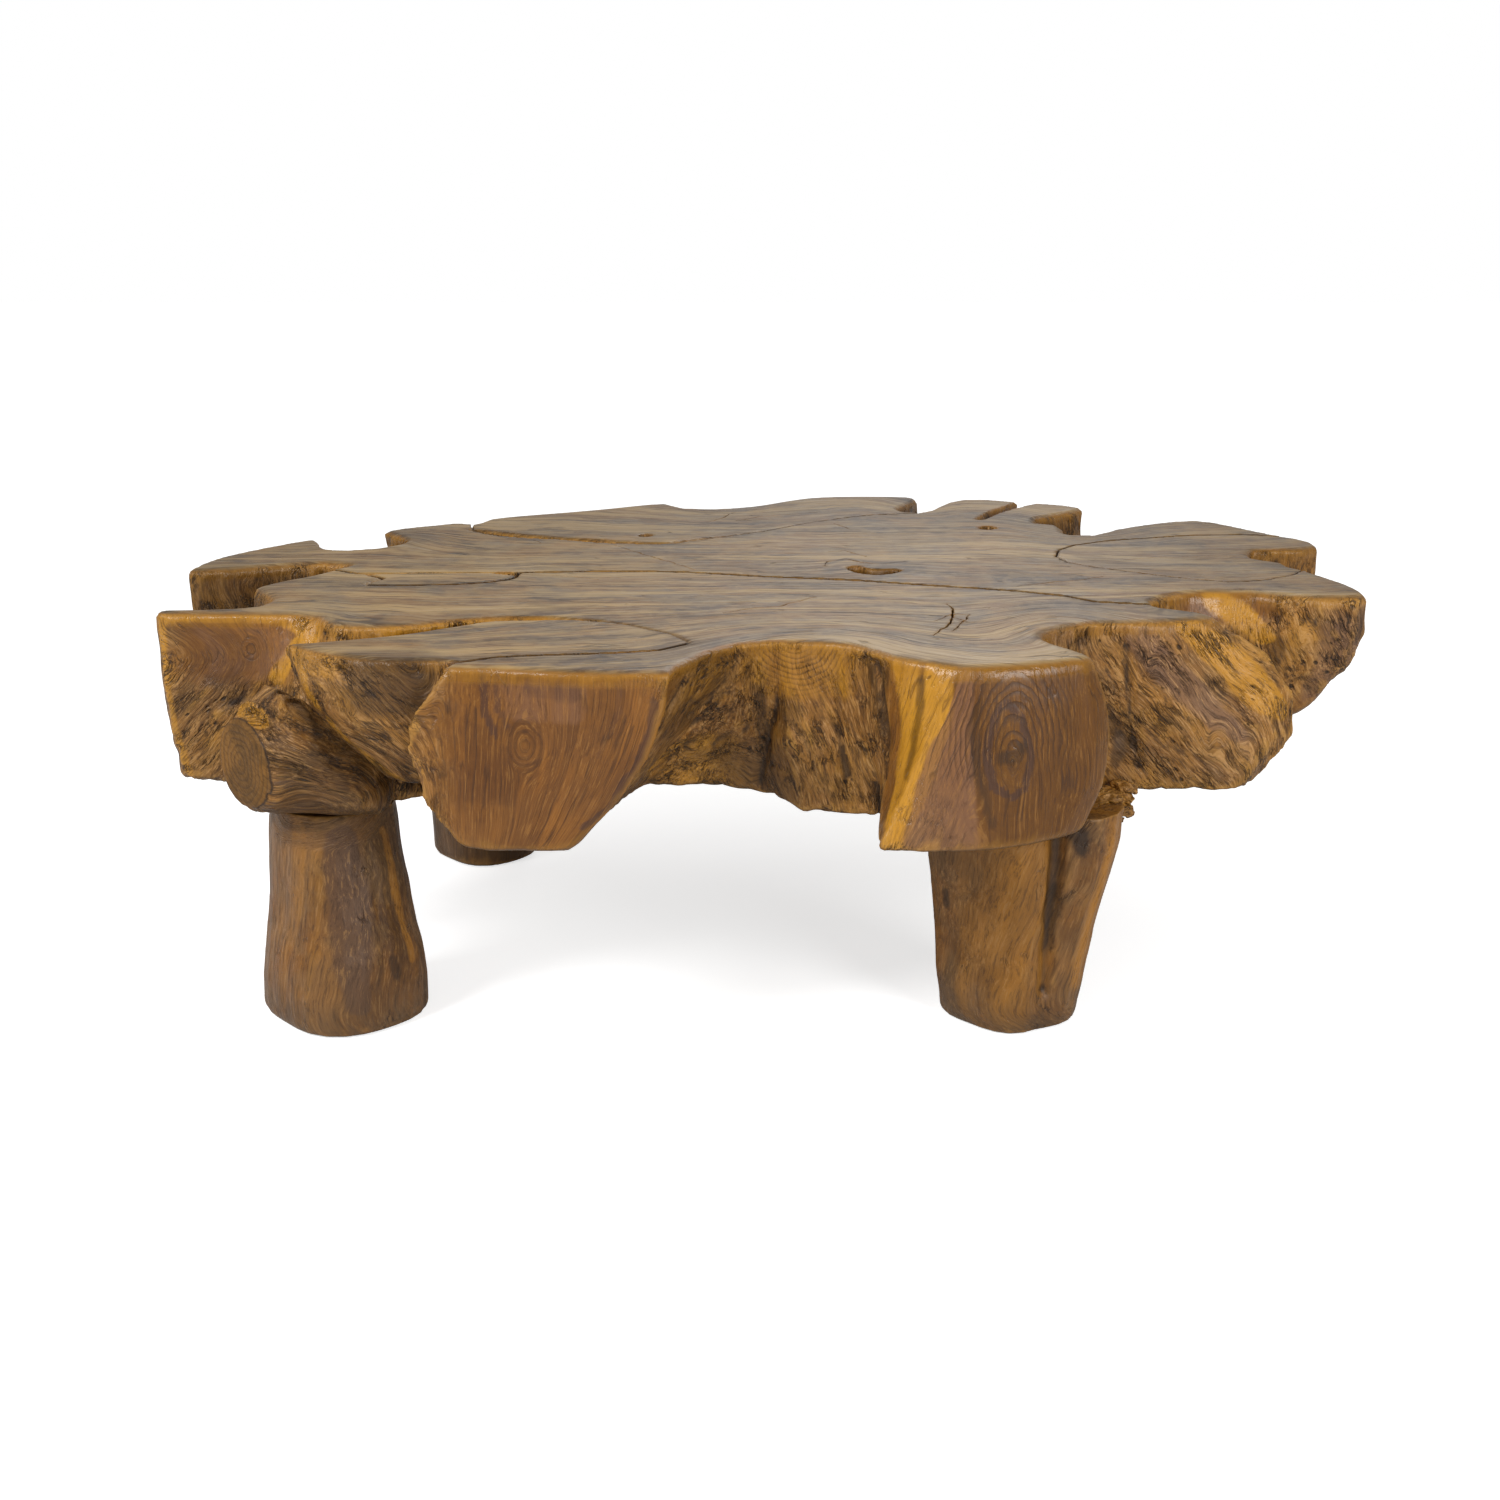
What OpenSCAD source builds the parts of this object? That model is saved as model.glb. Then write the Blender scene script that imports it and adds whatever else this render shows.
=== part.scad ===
// Coffee table built from teak root. A thick slice of root crown, flat above and
// below, is made up of a front and a rear half with filler roots let in between
// their lobes. It stands on four short lengths of root, doweled up into it.
// The origin is on the floor under the middle of the top. +X is right, +Y is back.

/* [Table] */
// Width of the top from the left lobe to the right one
table_w = 1436; // [1200:2:1640]
// Depth of the top from the front lobes to the rear ones
table_d = 1062; // [900:2:1200]
// Height of the top above the floor
table_h = 450; // [400:1:520]
// Thickness of the root slice that makes the top
crown_t = 200; // [170:1:230]
// Worn rounding where the top meets the natural edge
edge_r = 7; // [3:0.5:10]
// Worn rounding of the lower edge
under_r = 9; // [5:1:16]
// Width of the glue line between two roots
seam_gap = 0.6; // [0.2:0.1:1]

/* [Fillers] */
// Thickness of the lens-shaped root at the front left
lens_t = 150; // [120:1:165]
// Depth of the boat-shaped patch let into the top
patch_t = 60; // [30:1:70]
// Open crack left round the patch
patch_gap = 2.5; // [1:0.5:5]
// Height of the cut root stub under the left lobe
stub_h = 144; // [115:1:150]
// Depth of the hollow in the middle of the top
hollow_t = 120; // [60:1:150]
// Depth of the slot in the rear right lobe
slot_t = 90; // [50:1:150]

/* [Legs] */
// Width of the front left leg at the foot
left_foot_w = 186; // [150:1:210]
// Width of the front left leg at the top
left_neck_w = 148; // [130:1:180]
// Width of the front right leg at the foot
right_foot_w = 156; // [130:1:180]
// Width of the front right leg at the top
right_neck_w = 218; // [190:1:235]
// Width of the rear legs at the foot
rear_foot_w = 138; // [110:1:170]
// Width of the rear legs at the top
rear_neck_w = 150; // [130:1:180]
// Worn rounding of the feet
foot_r = 9; // [4:1:20]

/* [Dowels] */
// Diameter of the dowels between the legs and the top
leg_dowel_d = 40; // [25:1:50]
// Length of the leg dowels, half of it in the leg
leg_dowel_l = 150; // [100:2:170]
// Diameter of the dowels across the seams
seam_dowel_d = 25; // [16:1:30]
// Length of the dowels across the main seams
seam_dowel_l = 120; // [80:2:140]
// Length of the dowels into the smaller fillers
filler_dowel_l = 70; // [50:2:80]
// Room for glue round a dowel
glue_gap = 0.15; // [0.1:0.05:0.3]
// Room for glue past each end of a dowel
end_gap = 2; // [1:0.5:5]

/* [Hidden] */

// The plan is drawn to this size and stretched to table_w and table_d.
sheet_w = 1433.4;
sheet_d = 1059.5;
leg_h = table_h - crown_t;
stretch = [table_w / sheet_w, table_d / sheet_d];
// Spacing of the points along natural edges, along seams and round small shapes
natural_step = 27;
seam_step = 42;
small_step = 14;
leg_sides = 26;
stub_sides = 22;
tiny = 1e-6;

top_wood = "#9a7d5c";
root_wood = "#8f6a3e";
filler_wood = "#a98458";
leg_wood = "#7f5f3a";
dowel_wood = "#c7a36b";

// Seams, drawn from left to right as they show on the top.
centre_seam = [
  [-535, 0], [-500, -25], [-430, -20], [-308, -17], [-200, -9], [-100, -14], [0, -42],
  [100, -62], [200, -95], [300, -126], [352, -153], [384, -186], [445, -200]
];
rear_seam = [
  [-398, 304], [-392, 268], [-350, 232], [-275, 205], [-200, 180], [-125, 174],
  [-50, 220], [0, 258], [70, 325], [140, 372], [215, 390]
];
right_seam = [
  [662, -5, -30, -2, -75, -4], [640, -38, -24, 0, -58, 2], [600, -66, -12, 2, -28, 4],
  [560, -75, 0, 0, 0, 0], [515, -58, 0, 0, 0, 0], [460, -22, 0, 0, 0, 0],
  [410, 14, 0, 0, 0, 0], [378, 44, 0, 0, 0, 0], [368, 82, 0, 0, 0, 0],
  [376, 125, 0, 0, 0, 0], [400, 158, 0, 0, 0, 0], [440, 184, 0, 0, 0, 0],
  [500, 206, 0, 0, 0, 0], [575, 227, 0, 0, 0, 0], [630, 230, 0, 0, 0, 0],
  [682, 218, 0, 0, 0, 0]
];
// The lens-shaped filler tapers like a wedge, so its seam leans in at an even slope.
lens_seam = [
  [-205, -281, -10, -7, -20, -14], [-150, -314, -30, -10, -60, -20],
  [-106, -357, -42, -6, -84, -12], [-86, -397, -47, 0, -94, 0],
  [-118, -429, -42, 4, -84, 8], [-200, -446, -20, 6, -40, 12],
  [-293, -462, -8, 4, -16, 8], [-325, -483, 0, 0, 0, 0]
];

// Natural edges. Each point gives x and y on the top, then how far the waist of the
// wall and its foot stand away from it in x and y. A seventh value is the wear of the
// top's edge, 1 if it is left out and 0 where a seam ends.
left_notch_front = [
  [-535, 0, 0, 0, 0, 0, 0], [-556, -28, -4, 3, -4, 6], [-592, -68, -8, 6, -8, 8],
  [-614, -102, -12, 0, -10, 4], [-601, -132, -12, 0, -8, 0], [-580, -175, -12, 8, -12, 10],
  [-592, -208, -12, 16, -10, 24], [-640, -222, -6, 22, 0, 29], [-694, -226, 2, 14, 10, 16],
  [-704, -235, 4, 4, 18, 2]
];
left_lobe_face = [
  [-704, -235, 4, 4, 18, 2], [-697, -245, 3, -4, 22, -8], [-650, -247, 0, -8, 10, -12],
  [-600, -248, 0, -14, 0, -26], [-545, -248, -10, -32, -14, -64],
  [-512, -258, -20, -45, -30, -80], [-500, -282, -14, -38, -26, -64]
];
gap_rim = [
  [-500, -282, -14, -38, -26, -64], [-485, -304, -6, -20, -14, -42],
  [-450, -314, -4, -12, -8, -34], [-405, -308, 0, -8, 0, -26], [-370, -292, 0, -5, 0, -14],
  [-345, -281, 0, -3, 0, -6]
];
front_left_side = [
  [-345, -281, 0, -3, 0, -6, 0], [-334, -478, 0, 0, 0, 0, 0],
  [-334, -491, -34, 0, 4, -2, 0.6], [-338, -503, -46, -4, 14, -8]
];
front_left_face = [
  [-338, -503, -46, -4, 14, -8], [-285, -509, -14, -8, -14, -14], [-230, -521, -10, -3, -35, -3],
  [-180, -528, -10, 1, -55, 3], [-135, -530, -12, 4, -80, 7], [-104, -528, -26, 4, -106, 12]
];
front_recess = [
  [-104, -528, -26, 4, -106, 12], [-95, -500, -42, 20, -104, 50],
  [-78, -465, -34, 32, -104, 80], [-55, -428, -44, 46, -108, 110],
  [-32, -405, -48, 62, -106, 128], [-12, -395, -36, 56, -58, 118], [8, -389, -16, 36, -4, 72],
  [28, -387, -4, 10, 4, 20], [60, -391, 4, 2, 12, 1], [85, -402, 8, 4, 20, 8],
  [101, -418, 10, 6, 22, 24], [111, -436, 8, 12, 18, 44], [125, -454, 0, 16, 0, 46],
  [145, -471, -16, 14, -26, 32], [170, -486, -28, 4, -56, 4], [202, -503, -44, -8, -90, -18]
];
front_right_face = [
  [202, -503, -44, -8, -90, -18], [232, -500, -22, -16, -62, -28], [268, -491, -6, -16, -32, -28],
  [302, -480, 4, -12, -24, -22], [330, -468, 18, -6, -22, -14], [341, -455, 26, 0, -8, -6],
  [336, -438, 26, 6, 6, 8], [323, -416, 20, 10, 14, 16], [309, -395, 20, 8, 24, 20],
  [300, -372, 24, 6, 36, 16], [299, -350, 28, 0, 48, 4], [310, -330, 28, -8, 46, -10],
  [330, -312, 22, -8, 32, -18], [356, -298, 14, -2, 14, -6]
];
right_front_lobe = [
  [356, -298, 14, -2, 14, -6], [376, -292, 22, 0, 20, 0], [410, -290, 34, 0, 22, 2],
  [452, -282, 58, -3, 26, -12], [489, -270, 90, -4, 44, -30], [502, -256, 106, 4, 52, -18],
  [494, -240, 100, 16, 48, 4], [472, -224, 76, 20, 34, 16], [455, -214, 32, 12, 12, 10],
  [445, -200, 0, 0, 0, 0, 0]
];
right_lobe = [
  [445, -200, 0, 0, 0, 0, 0], [448, -180, 5, 0, 12, 4], [466, -156, 6, -5, 12, 2],
  [500, -131, 2, -14, 8, -8], [535, -124, 0, -20, 5, -4], [570, -126, -4, -18, 0, 8],
  [605, -142, -6, -4, -20, 34], [654, -159, -10, 9, -60, 60], [694, -159, -16, 12, -112, 64],
  [707, -145, -18, 10, -130, 54], [708, -110, -20, 4, -126, 34, 2],
  [699, -70, -22, 0, -122, 14, 2], [684, -35, -26, 0, -98, 2, 1.5],
  [662, -5, -30, -2, -75, -4, 0]
];
right_rear_lobe = [
  [682, 218, 0, 0, 0, 0, 0], [672, 240, -5, 0, -20, -6], [648, 275, -5, -5, -25, -20],
  [612, 324, -5, -5, -20, -30], [588, 338, 0, -5, -10, -35], [560, 333, 0, 0, 0, -30],
  [505, 303, 5, 0, 10, -20], [462, 268, 8, 0, 12, -12], [432, 231, 5, 2, 8, 4],
  [405, 233, 2, 6, 6, 10], [397, 252, 5, 4, 12, 6], [401, 278, 4, 2, 10, 4],
  [395, 306, 6, 0, 12, 0], [366, 319, 8, 0, 16, 2], [372, 354, 6, 0, 14, 0],
  [400, 380, 4, 0, 8, -6], [432, 404, 2, 0, 0, -14], [447, 428, 0, -4, -10, -26],
  [432, 450, -4, -8, -18, -38], [390, 471, -4, -8, -12, -40], [350, 488, 0, -8, 0, -40],
  [310, 505, 0, -8, 0, -38], [280, 500, 0, -5, 5, -30], [256, 476, 4, 0, 10, -15],
  [240, 442, 4, 0, 10, 0], [226, 410, 2, 0, 6, 0], [215, 390, 0, 0, 0, 0, 0]
];
far_left_lobe = [
  [-398, 304, 0, 0, 0, 0, 0], [-418, 321, -4, -4, -6, -14], [-445, 306, -4, -4, -8, -16],
  [-488, 281, -4, -4, -6, -20], [-512, 257, -2, -4, 0, -18], [-495, 232, 0, 0, 6, -6],
  [-472, 194, 4, 0, 10, 0], [-478, 168, 2, 4, 6, 6], [-503, 142, 0, 6, 0, 12],
  [-535, 130, 0, 8, 0, 14], [-562, 131, 4, 6, 8, 10], [-578, 160, 4, 0, 10, 0],
  [-592, 204, 2, -6, 10, -20], [-622, 178, 4, -6, 20, -20], [-660, 132, 6, -6, 24, -18],
  [-695, 80, 8, -4, 28, -10], [-712, 34, 8, 0, 30, 0], [-718, -2, 8, 4, 30, 10],
  [-700, -4, 6, 6, 20, 20], [-650, 12, 4, 6, 14, 20], [-600, 33, 2, 6, 8, 16],
  [-545, 45, 0, 4, 4, 8], [-518, 30, 0, 0, 2, 2], [-535, 0, 0, 0, 0, 0, 0]
];
rear_root_edge = [
  [215, 390, 0, 0, 0, 0, 0], [196, 402, -2, 4, -4, 8], [185, 424, 2, 4, 6, 6],
  [200, 462, 2, 0, 6, 0], [219, 508, 0, -6, -4, -24], [205, 524, -4, -8, -10, -36],
  [165, 529, 0, -10, -6, -44], [110, 528, 0, -10, 0, -46], [62, 516, 4, -8, 6, -36],
  [20, 482, 6, -4, 10, -24], [-20, 446, 6, 0, 10, -10], [-75, 426, 0, 2, 4, 4],
  [-112, 432, -2, 4, -2, 8], [-140, 469, 0, -4, 4, -20], [-165, 463, 0, -6, 4, -28],
  [-215, 434, 0, -8, 4, -34], [-280, 401, 0, -8, 6, -34], [-340, 374, 0, -8, 10, -34],
  [-380, 347, 4, -6, 18, -26], [-391, 318, 4, 0, 14, -6], [-398, 304, 0, 0, 0, 0, 0]
];
right_infill_edge = [
  [662, -5, -30, -2, -75, -4, 0], [652, 18, -26, 0, -68, 0], [648, 45, -22, 0, -60, 0],
  [618, 72, -14, -2, -34, -6], [614, 92, -8, 0, -24, 0], [626, 126, 0, 4, 0, 6],
  [648, 126, 2, 10, 4, 24], [690, 132, -6, 12, -40, 24], [715, 150, -12, 8, -66, 14],
  [714, 182, -10, 0, -60, -6], [700, 208, -6, -4, -30, -10], [682, 218, 0, 0, 0, 0, 0]
];
lens_back_edge = [
  [-205, -281, -10, -7, -20, -14, 0], [-260, -278, 0, -4, 0, -12], [-315, -284, 0, -4, 0, -20],
  [-350, -309, 0, -6, 5, -25], [-410, -354, 4, -8, 30, -30], [-466, -374, 8, -10, 64, -30, 1.6],
  [-528, -392, 32, -15, 118, -30, 3]
];
lens_front_edge = [
  [-528, -392, 32, -15, 118, -30, 3], [-510, -411, 28, -18, 104, -12, 2.4],
  [-483, -434, 16, -12, 82, 4, 1.4], [-445, -458, 10, -6, 60, 20], [-400, -473, 6, 0, 35, 30],
  [-355, -472, 0, 0, 15, 25], [-325, -483, 0, 0, 0, 0, 0]
];

// Outline of the boat-shaped patch, from its left tip along its front edge. Its back
// follows the centre seam between these two places.
patch_edge = [
  [-490, -33], [-467, -52], [-478, -72], [-484, -90], [-450, -95], [-425, -92],
  [-370, -86], [-332, -71], [-309, -50], [-306, -17]
];
patch_back_from = -484;
patch_back_to = -312;
// Crescent hole where the roots left a hollow, and the slot in the rear right lobe.
hollow_edge = [
  [98, 15], [105, -6], [117, -27], [136, -33], [156, -21], [167, -2], [146, 4], [130, 2],
  [122, 12], [113, 24]
];
slot_edge = [
  [286, 340], [297, 338], [328, 396], [352, 430], [392, 478], [372, 500], [335, 436],
  [312, 404]
];
// Holes left by small knots: x and y on the plan, and the diameter.
rear_root_knot = [-159, 226, 18];
rear_lobe_knot = [299, 280, 24];
knot_t = 45;

// Places of the legs and of their dowels on the plan: front left, front right, rear
// left, rear right.
leg_places = [[-485, -325], [274, -330], [-384, 262], [326, 268]];
leg_dowel_places = [[-478, -290], [262, -330], [-402, 226], [318, 248]];

// Dowel places: x and y on the plan, and the angle of the dowel from the X axis.
centre_dowels = [[-240, -12, 90], [-20, -36, 75], [150, -78, 75], [270, -117, 75]];
rear_dowels = [[-300, 212, 75], [-120, 175, 95], [35, 292, 130]];
right_dowels = [[520, -61, 60], [369, 85, 0], [520, 211, 110]];
lens_dowels = [[-178, -322, 60], [-222, -441, 100]];
stub_dowel_at = [-520, -352, 90];

function put(p) = [p.x * stretch.x, p.y * stretch.y];
function reach(a, b) = norm([b.x - a.x, b.y - a.y]);
function tail(list) = [for (i = [1:len(list) - 1]) list[i]];
function flip(list) = [for (i = [len(list) - 1:-1:0]) list[i]];

// A smooth curve through hand-set points, with its slope eased over uneven spacing.
function slope(p, i) =
  let (a = p[max(i - 1, 0)], b = p[min(i + 1, len(p) - 1)])
  (b - a) / (reach(a, p[i]) + reach(p[i], b));
function blend(a, ma, b, mb, t) =
  a * (2 * pow(t, 3) - 3 * pow(t, 2) + 1) + ma * (pow(t, 3) - 2 * pow(t, 2) + t)
  + b * (3 * pow(t, 2) - 2 * pow(t, 3)) + mb * (pow(t, 3) - pow(t, 2));
function curve(p, step) = [
  for (i = [0:len(p) - 2])
    let (run = reach(p[i], p[i + 1]), n = max(1, round(run / step)))
      for (k = [0:n - 1])
        blend(p[i], slope(p, i) * run, p[i + 1], slope(p, i + 1) * run, k / n)
];

// Stations round a piece. A station holds a point on the top, the shifts of the waist
// and the foot, and the wear of the edge.
function full(q) = len(q) == 7 ? q : concat(q, [1]);
function natural(edge) = curve([for (e = edge) full(e)], natural_step);
function seam(line, gap = seam_gap) =
  let (
    run = concat(curve(line, seam_step), [line[len(line) - 1]]),
    last = len(run) - 1
  )
  [for (i = [0:last])
    let (
      d = run[min(i + 1, last)] - run[max(i - 1, 0)],
      inward = [-d.y, d.x] / norm([d.x, d.y]) * gap / 2,
      lean = len(run[i]) > 2 ? [for (k = [2:5]) run[i][k]] : [0, 0, 0, 0]
    )
      concat([run[i].x + inward.x, run[i].y + inward.y], lean, [0])
  ];

// The wall bends from the top through its waist to its foot. t runs from 0 to 1.
function wall_point(s, t) = put([
  s[0] + s[2] * 4 * t * (1 - t) + s[4] * t * (2 * t - 1),
  s[1] + s[3] * 4 * t * (1 - t) + s[5] * t * (2 * t - 1)
]);
function outward(ring, i) =
  let (n = len(ring), d = ring[(i + 1) % n] - ring[(i + n - 1) % n])
  [d.y, -d.x] / max(norm(d), tiny);
function level(stations, t, inset, worn) =
  let (ring = [for (s = stations) wall_point(s, t)])
  [for (i = [0:len(ring) - 1])
    ring[i] - outward(ring, i) * inset * (worn ? stations[i][6] : min(1, stations[i][6]))
  ];

// Flat caps are cut into triangles one ear at a time.
function turn(a, b, c) = (b.x - a.x) * (c.y - a.y) - (b.y - a.y) * (c.x - a.x);
function holds(a, b, c, p) = turn(a, b, p) >= 0 && turn(b, c, p) >= 0 && turn(c, a, p) >= 0;
function is_ear(pts, left, k) =
  let (n = len(left), i = left[(k + n - 1) % n], j = left[k], m = left[(k + 1) % n])
  turn(pts[i], pts[j], pts[m]) > tiny
  && len([for (q = left)
    if (q != i && q != j && q != m && holds(pts[i], pts[j], pts[m], pts[q])) q]) == 0;
function ears(pts, left, k = 0, tries = 0, found = []) =
  let (n = len(left))
  n == 3 ? concat(found, [left])
  : is_ear(pts, left, k) || tries > n
  ? ears(pts, [for (q = [0:n - 1]) if (q != k) left[q]], (k + 1) % (n - 1), 0,
      concat(found, [[left[(k + n - 1) % n], left[k], left[(k + 1) % n]]]))
  : ears(pts, left, (k + 1) % n, tries + 1, found);

// A closed solid through rings of equal count, listed from the top down.
module stack(rings, heights) {
  n = len(rings[0]);
  last = len(rings) - 1;
  points = [for (r = [0:last]) for (p = rings[r]) [p.x, p.y, heights[r]]];
  sides = [
    for (r = [0:last - 1]) for (i = [0:n - 1])
      let (a = r * n + i, b = r * n + (i + 1) % n)
        each [[a, b, b + n], [a, b + n, a + n]]
  ];
  order = [for (i = [0:n - 1]) i];
  top_cap = [for (f = ears(rings[0], order)) [f[2], f[1], f[0]]];
  low_cap = [for (f = ears(rings[last], order)) [f[0] + last * n, f[1] + last * n, f[2] + last * n]];
  polyhedron(points = points, faces = concat(top_cap, sides, low_cap));
}

// Ring heights of a slice from its top down: worn edge, wall, rounded lower edge.
function slice_heights(top, thick) =
  let (low = top - thick, wall_top = top - edge_r, wall_low = low + under_r)
  concat(
    [top, top - edge_r * 0.3, wall_top],
    [for (t = [0.22, 0.46, 0.72]) wall_top - (wall_top - wall_low) * t],
    [wall_low, low + under_r * 0.3, low]
  );
// How far in each ring lies from the wall, as a share of the rounding there.
slice_insets = [1, 0.3, 0, 0, 0, 0, 0, 0.3, 1];
module root_slice(stations, thick) {
  heights = slice_heights(table_h, thick);
  rings = [
    for (r = [0:len(heights) - 1])
      let (upper = r < 3)
        level(stations, (table_h - heights[r]) / thick,
          slice_insets[r] * (upper ? edge_r : under_r), upper)
  ];
  stack(rings, heights);
}

// A dowel lying across a seam at half the height of the piece it holds.
module lying(place, z, d, l) {
  translate(concat(put(place), [z])) rotate([0, 0, place.z]) rotate([0, 90, 0])
    cylinder(h = l, d = d, center = true, $fn = 48);
}
module seam_bores(places, z, l) {
  for (p = places) lying(p, z, seam_dowel_d + 2 * glue_gap, l + 2 * end_gap);
}
module seam_pins(places, z, l) {
  for (p = places) lying(p, z, seam_dowel_d, l);
}
module leg_bore(k) {
  translate(concat(put(leg_dowel_places[k]), [leg_h - leg_dowel_l / 2 - end_gap]))
    cylinder(h = leg_dowel_l + 2 * end_gap, d = leg_dowel_d + 2 * glue_gap, $fn = 48);
}
crown_mid = table_h - crown_t / 2;
lens_mid = table_h - lens_t / 2;
stub_dowel_z = leg_h + stub_h / 4;

// A hole that a small knot left in the top.
module knot_hole(k) {
  translate(concat(put(k), [table_h - knot_t])) cylinder(h = knot_t + 1, d = k.z, $fn = 32);
}

// Front half of the top, from the left lobe to the right front lobe.
module front_crown() {
  stations = concat(
    tail(natural(left_notch_front)), natural(left_lobe_face), natural(gap_rim),
    natural(front_left_side), natural(front_left_face), natural(front_recess),
    natural(front_right_face), natural(right_front_lobe), seam(flip(centre_seam))
  );
  color(top_wood) difference() {
    root_slice(stations, crown_t);
    lens_pocket();
    patch_pocket();
    seam_bores(centre_dowels, crown_mid, seam_dowel_l);
    seam_bores(lens_dowels, lens_mid, filler_dowel_l);
    lying(stub_dowel_at, stub_dowel_z, seam_dowel_d + 2 * glue_gap,
      filler_dowel_l + 2 * end_gap);
    leg_bore(0);
    leg_bore(1);
  }
}

// Rear half of the top, with the far left, right and rear right lobes.
module rear_crown() {
  stations = concat(
    seam(centre_seam), tail(natural(right_lobe)), seam(right_seam),
    tail(natural(right_rear_lobe)), seam(flip(rear_seam)), tail(natural(far_left_lobe))
  );
  color(top_wood) difference() {
    root_slice(stations, crown_t);
    hollow();
    rear_slot();
    knot_hole(rear_lobe_knot);
    seam_bores(centre_dowels, crown_mid, seam_dowel_l);
    seam_bores(rear_dowels, crown_mid, seam_dowel_l);
    seam_bores(right_dowels, crown_mid, seam_dowel_l);
    leg_bore(2);
    leg_bore(3);
  }
}

// Root let in along the back, between the far left and the rear right lobes.
module rear_left_root() {
  stations = concat(seam(rear_seam), tail(natural(rear_root_edge)));
  color(root_wood) difference() {
    root_slice(stations, crown_t);
    seam_bores(rear_dowels, crown_mid, seam_dowel_l);
    knot_hole(rear_root_knot);
  }
}

// Tongue-shaped root let in at the right end.
module right_infill() {
  stations = concat(seam(flip(right_seam)), tail(natural(right_infill_edge)));
  color(filler_wood) difference() {
    root_slice(stations, crown_t);
    seam_bores(right_dowels, crown_mid, seam_dowel_l);
  }
}

// Lens-shaped root let in at the front left, thinner than the crown. Its pocket takes
// in the open gap behind it.
pocket_rim = [[-255, -268], [-300, -267], [-352, -283], [-352, -478]];
module lens_pocket() {
  wall = seam(flip(lens_seam), -seam_gap);
  rim = [for (q = pocket_rim) [q.x, q.y, 0, 0, 0, 0, 0]];
  heights = concat([table_h + 1], tail(slice_heights(table_h, lens_t)));
  rings = [for (z = heights) level(concat(wall, rim), (table_h - z) / lens_t, 0, true)];
  stack(rings, heights);
}
module front_left_infill() {
  stations = concat(
    natural(lens_front_edge), seam(flip(lens_seam)), tail(natural(lens_back_edge))
  );
  color(filler_wood) difference() {
    root_slice(stations, lens_t);
    seam_bores(lens_dowels, lens_mid, filler_dowel_l);
  }
}

// Boat-shaped patch in the front half, against the centre seam.
function patch_ring(gap) =
  let (
    seam_run = curve(flip(centre_seam), 2 * small_step),
    back = [for (q = seam_run) if (q.x > patch_back_from && q.x < patch_back_to) q],
    ring = [for (q = concat(curve(patch_edge, small_step), back)) put(q)]
  )
  [for (i = [0:len(ring) - 1]) ring[i] - outward(ring, i) * gap];
module patch_pocket() {
  past_seam = [[-306, 12], [-470, 8]];
  translate([0, 0, table_h - patch_t]) linear_extrude(height = patch_t + 1)
    polygon([for (q = concat(curve(patch_edge, small_step), past_seam)) put(q)]);
}
module boat_patch() {
  color(filler_wood) translate([0, 0, table_h - patch_t]) linear_extrude(height = patch_t)
    polygon(patch_ring(patch_gap));
}

// Hollow and slot that go down into the rear half.
module hollow() {
  translate([0, 0, table_h - hollow_t]) linear_extrude(height = hollow_t + 1)
    polygon([for (q = curve(concat(hollow_edge, [hollow_edge[0]]), small_step)) put(q)]);
}
module rear_slot() {
  translate([0, 0, table_h - slot_t]) linear_extrude(height = slot_t + 1)
    polygon([for (q = slot_edge) put(q)]);
}

// Cut root stub that lies on the front left leg with its flat back against the crown.
// Each ring gives the x, y and z of its middle above the leg, half its depth and height
// for a stub of the drawn height, and its slant. The sawn left end faces front left.
stub_back = -351;
drawn_stub_h = 144;
stub_rings = [
  [-579, -410, 67, 33, 45, 0.87], [-575, -410, 67, 38, 50, 0.87], [-577, -372, 64, 80, 60, 0.62],
  [-552, -366, 72, 84, 72, 0.55], [-514, -366, 62, 80, 62, 0.37], [-482, -372, 49, 70, 49, 0.15],
  [-452, -376, 38, 62, 38, 0], [-430, -380, 30, 46, 28, 0], [-420, -382, 25, 26, 14, 0]
];
module left_root_stub() {
  n = stub_sides;
  tall = stub_h / drawn_stub_h;
  rings = [
    for (r = stub_rings) [
      for (i = [0:n - 1])
        let (
          a = 360 * i / n,
          y = min(stub_back, r[1] + r[3] * cos(a)),
          z = max(0, (r[2] - r[4] * sin(a)) * tall),
          q = put([r[0] - (y - r[1]) * r[5], y])
        )
          [q.x, q.y, leg_h + z]
    ]
  ];
  last = len(rings) - 1;
  color(leg_wood) difference() {
    polyhedron(
      points = [for (r = rings) each r],
      faces = concat(
        [for (i = [1:n - 2]) [0, i + 1, i]],
        [for (r = [0:last - 1]) for (i = [0:n - 1])
          let (a = r * n + i, b = r * n + (i + 1) % n)
            each [[a, b, b + n], [a, b + n, a + n]]],
        [for (i = [1:n - 2]) [last * n, last * n + i, last * n + i + 1]]
      )
    );
    lying(stub_dowel_at, stub_dowel_z, seam_dowel_d + 2 * glue_gap,
      filler_dowel_l + 2 * end_gap);
  }
}

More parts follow.
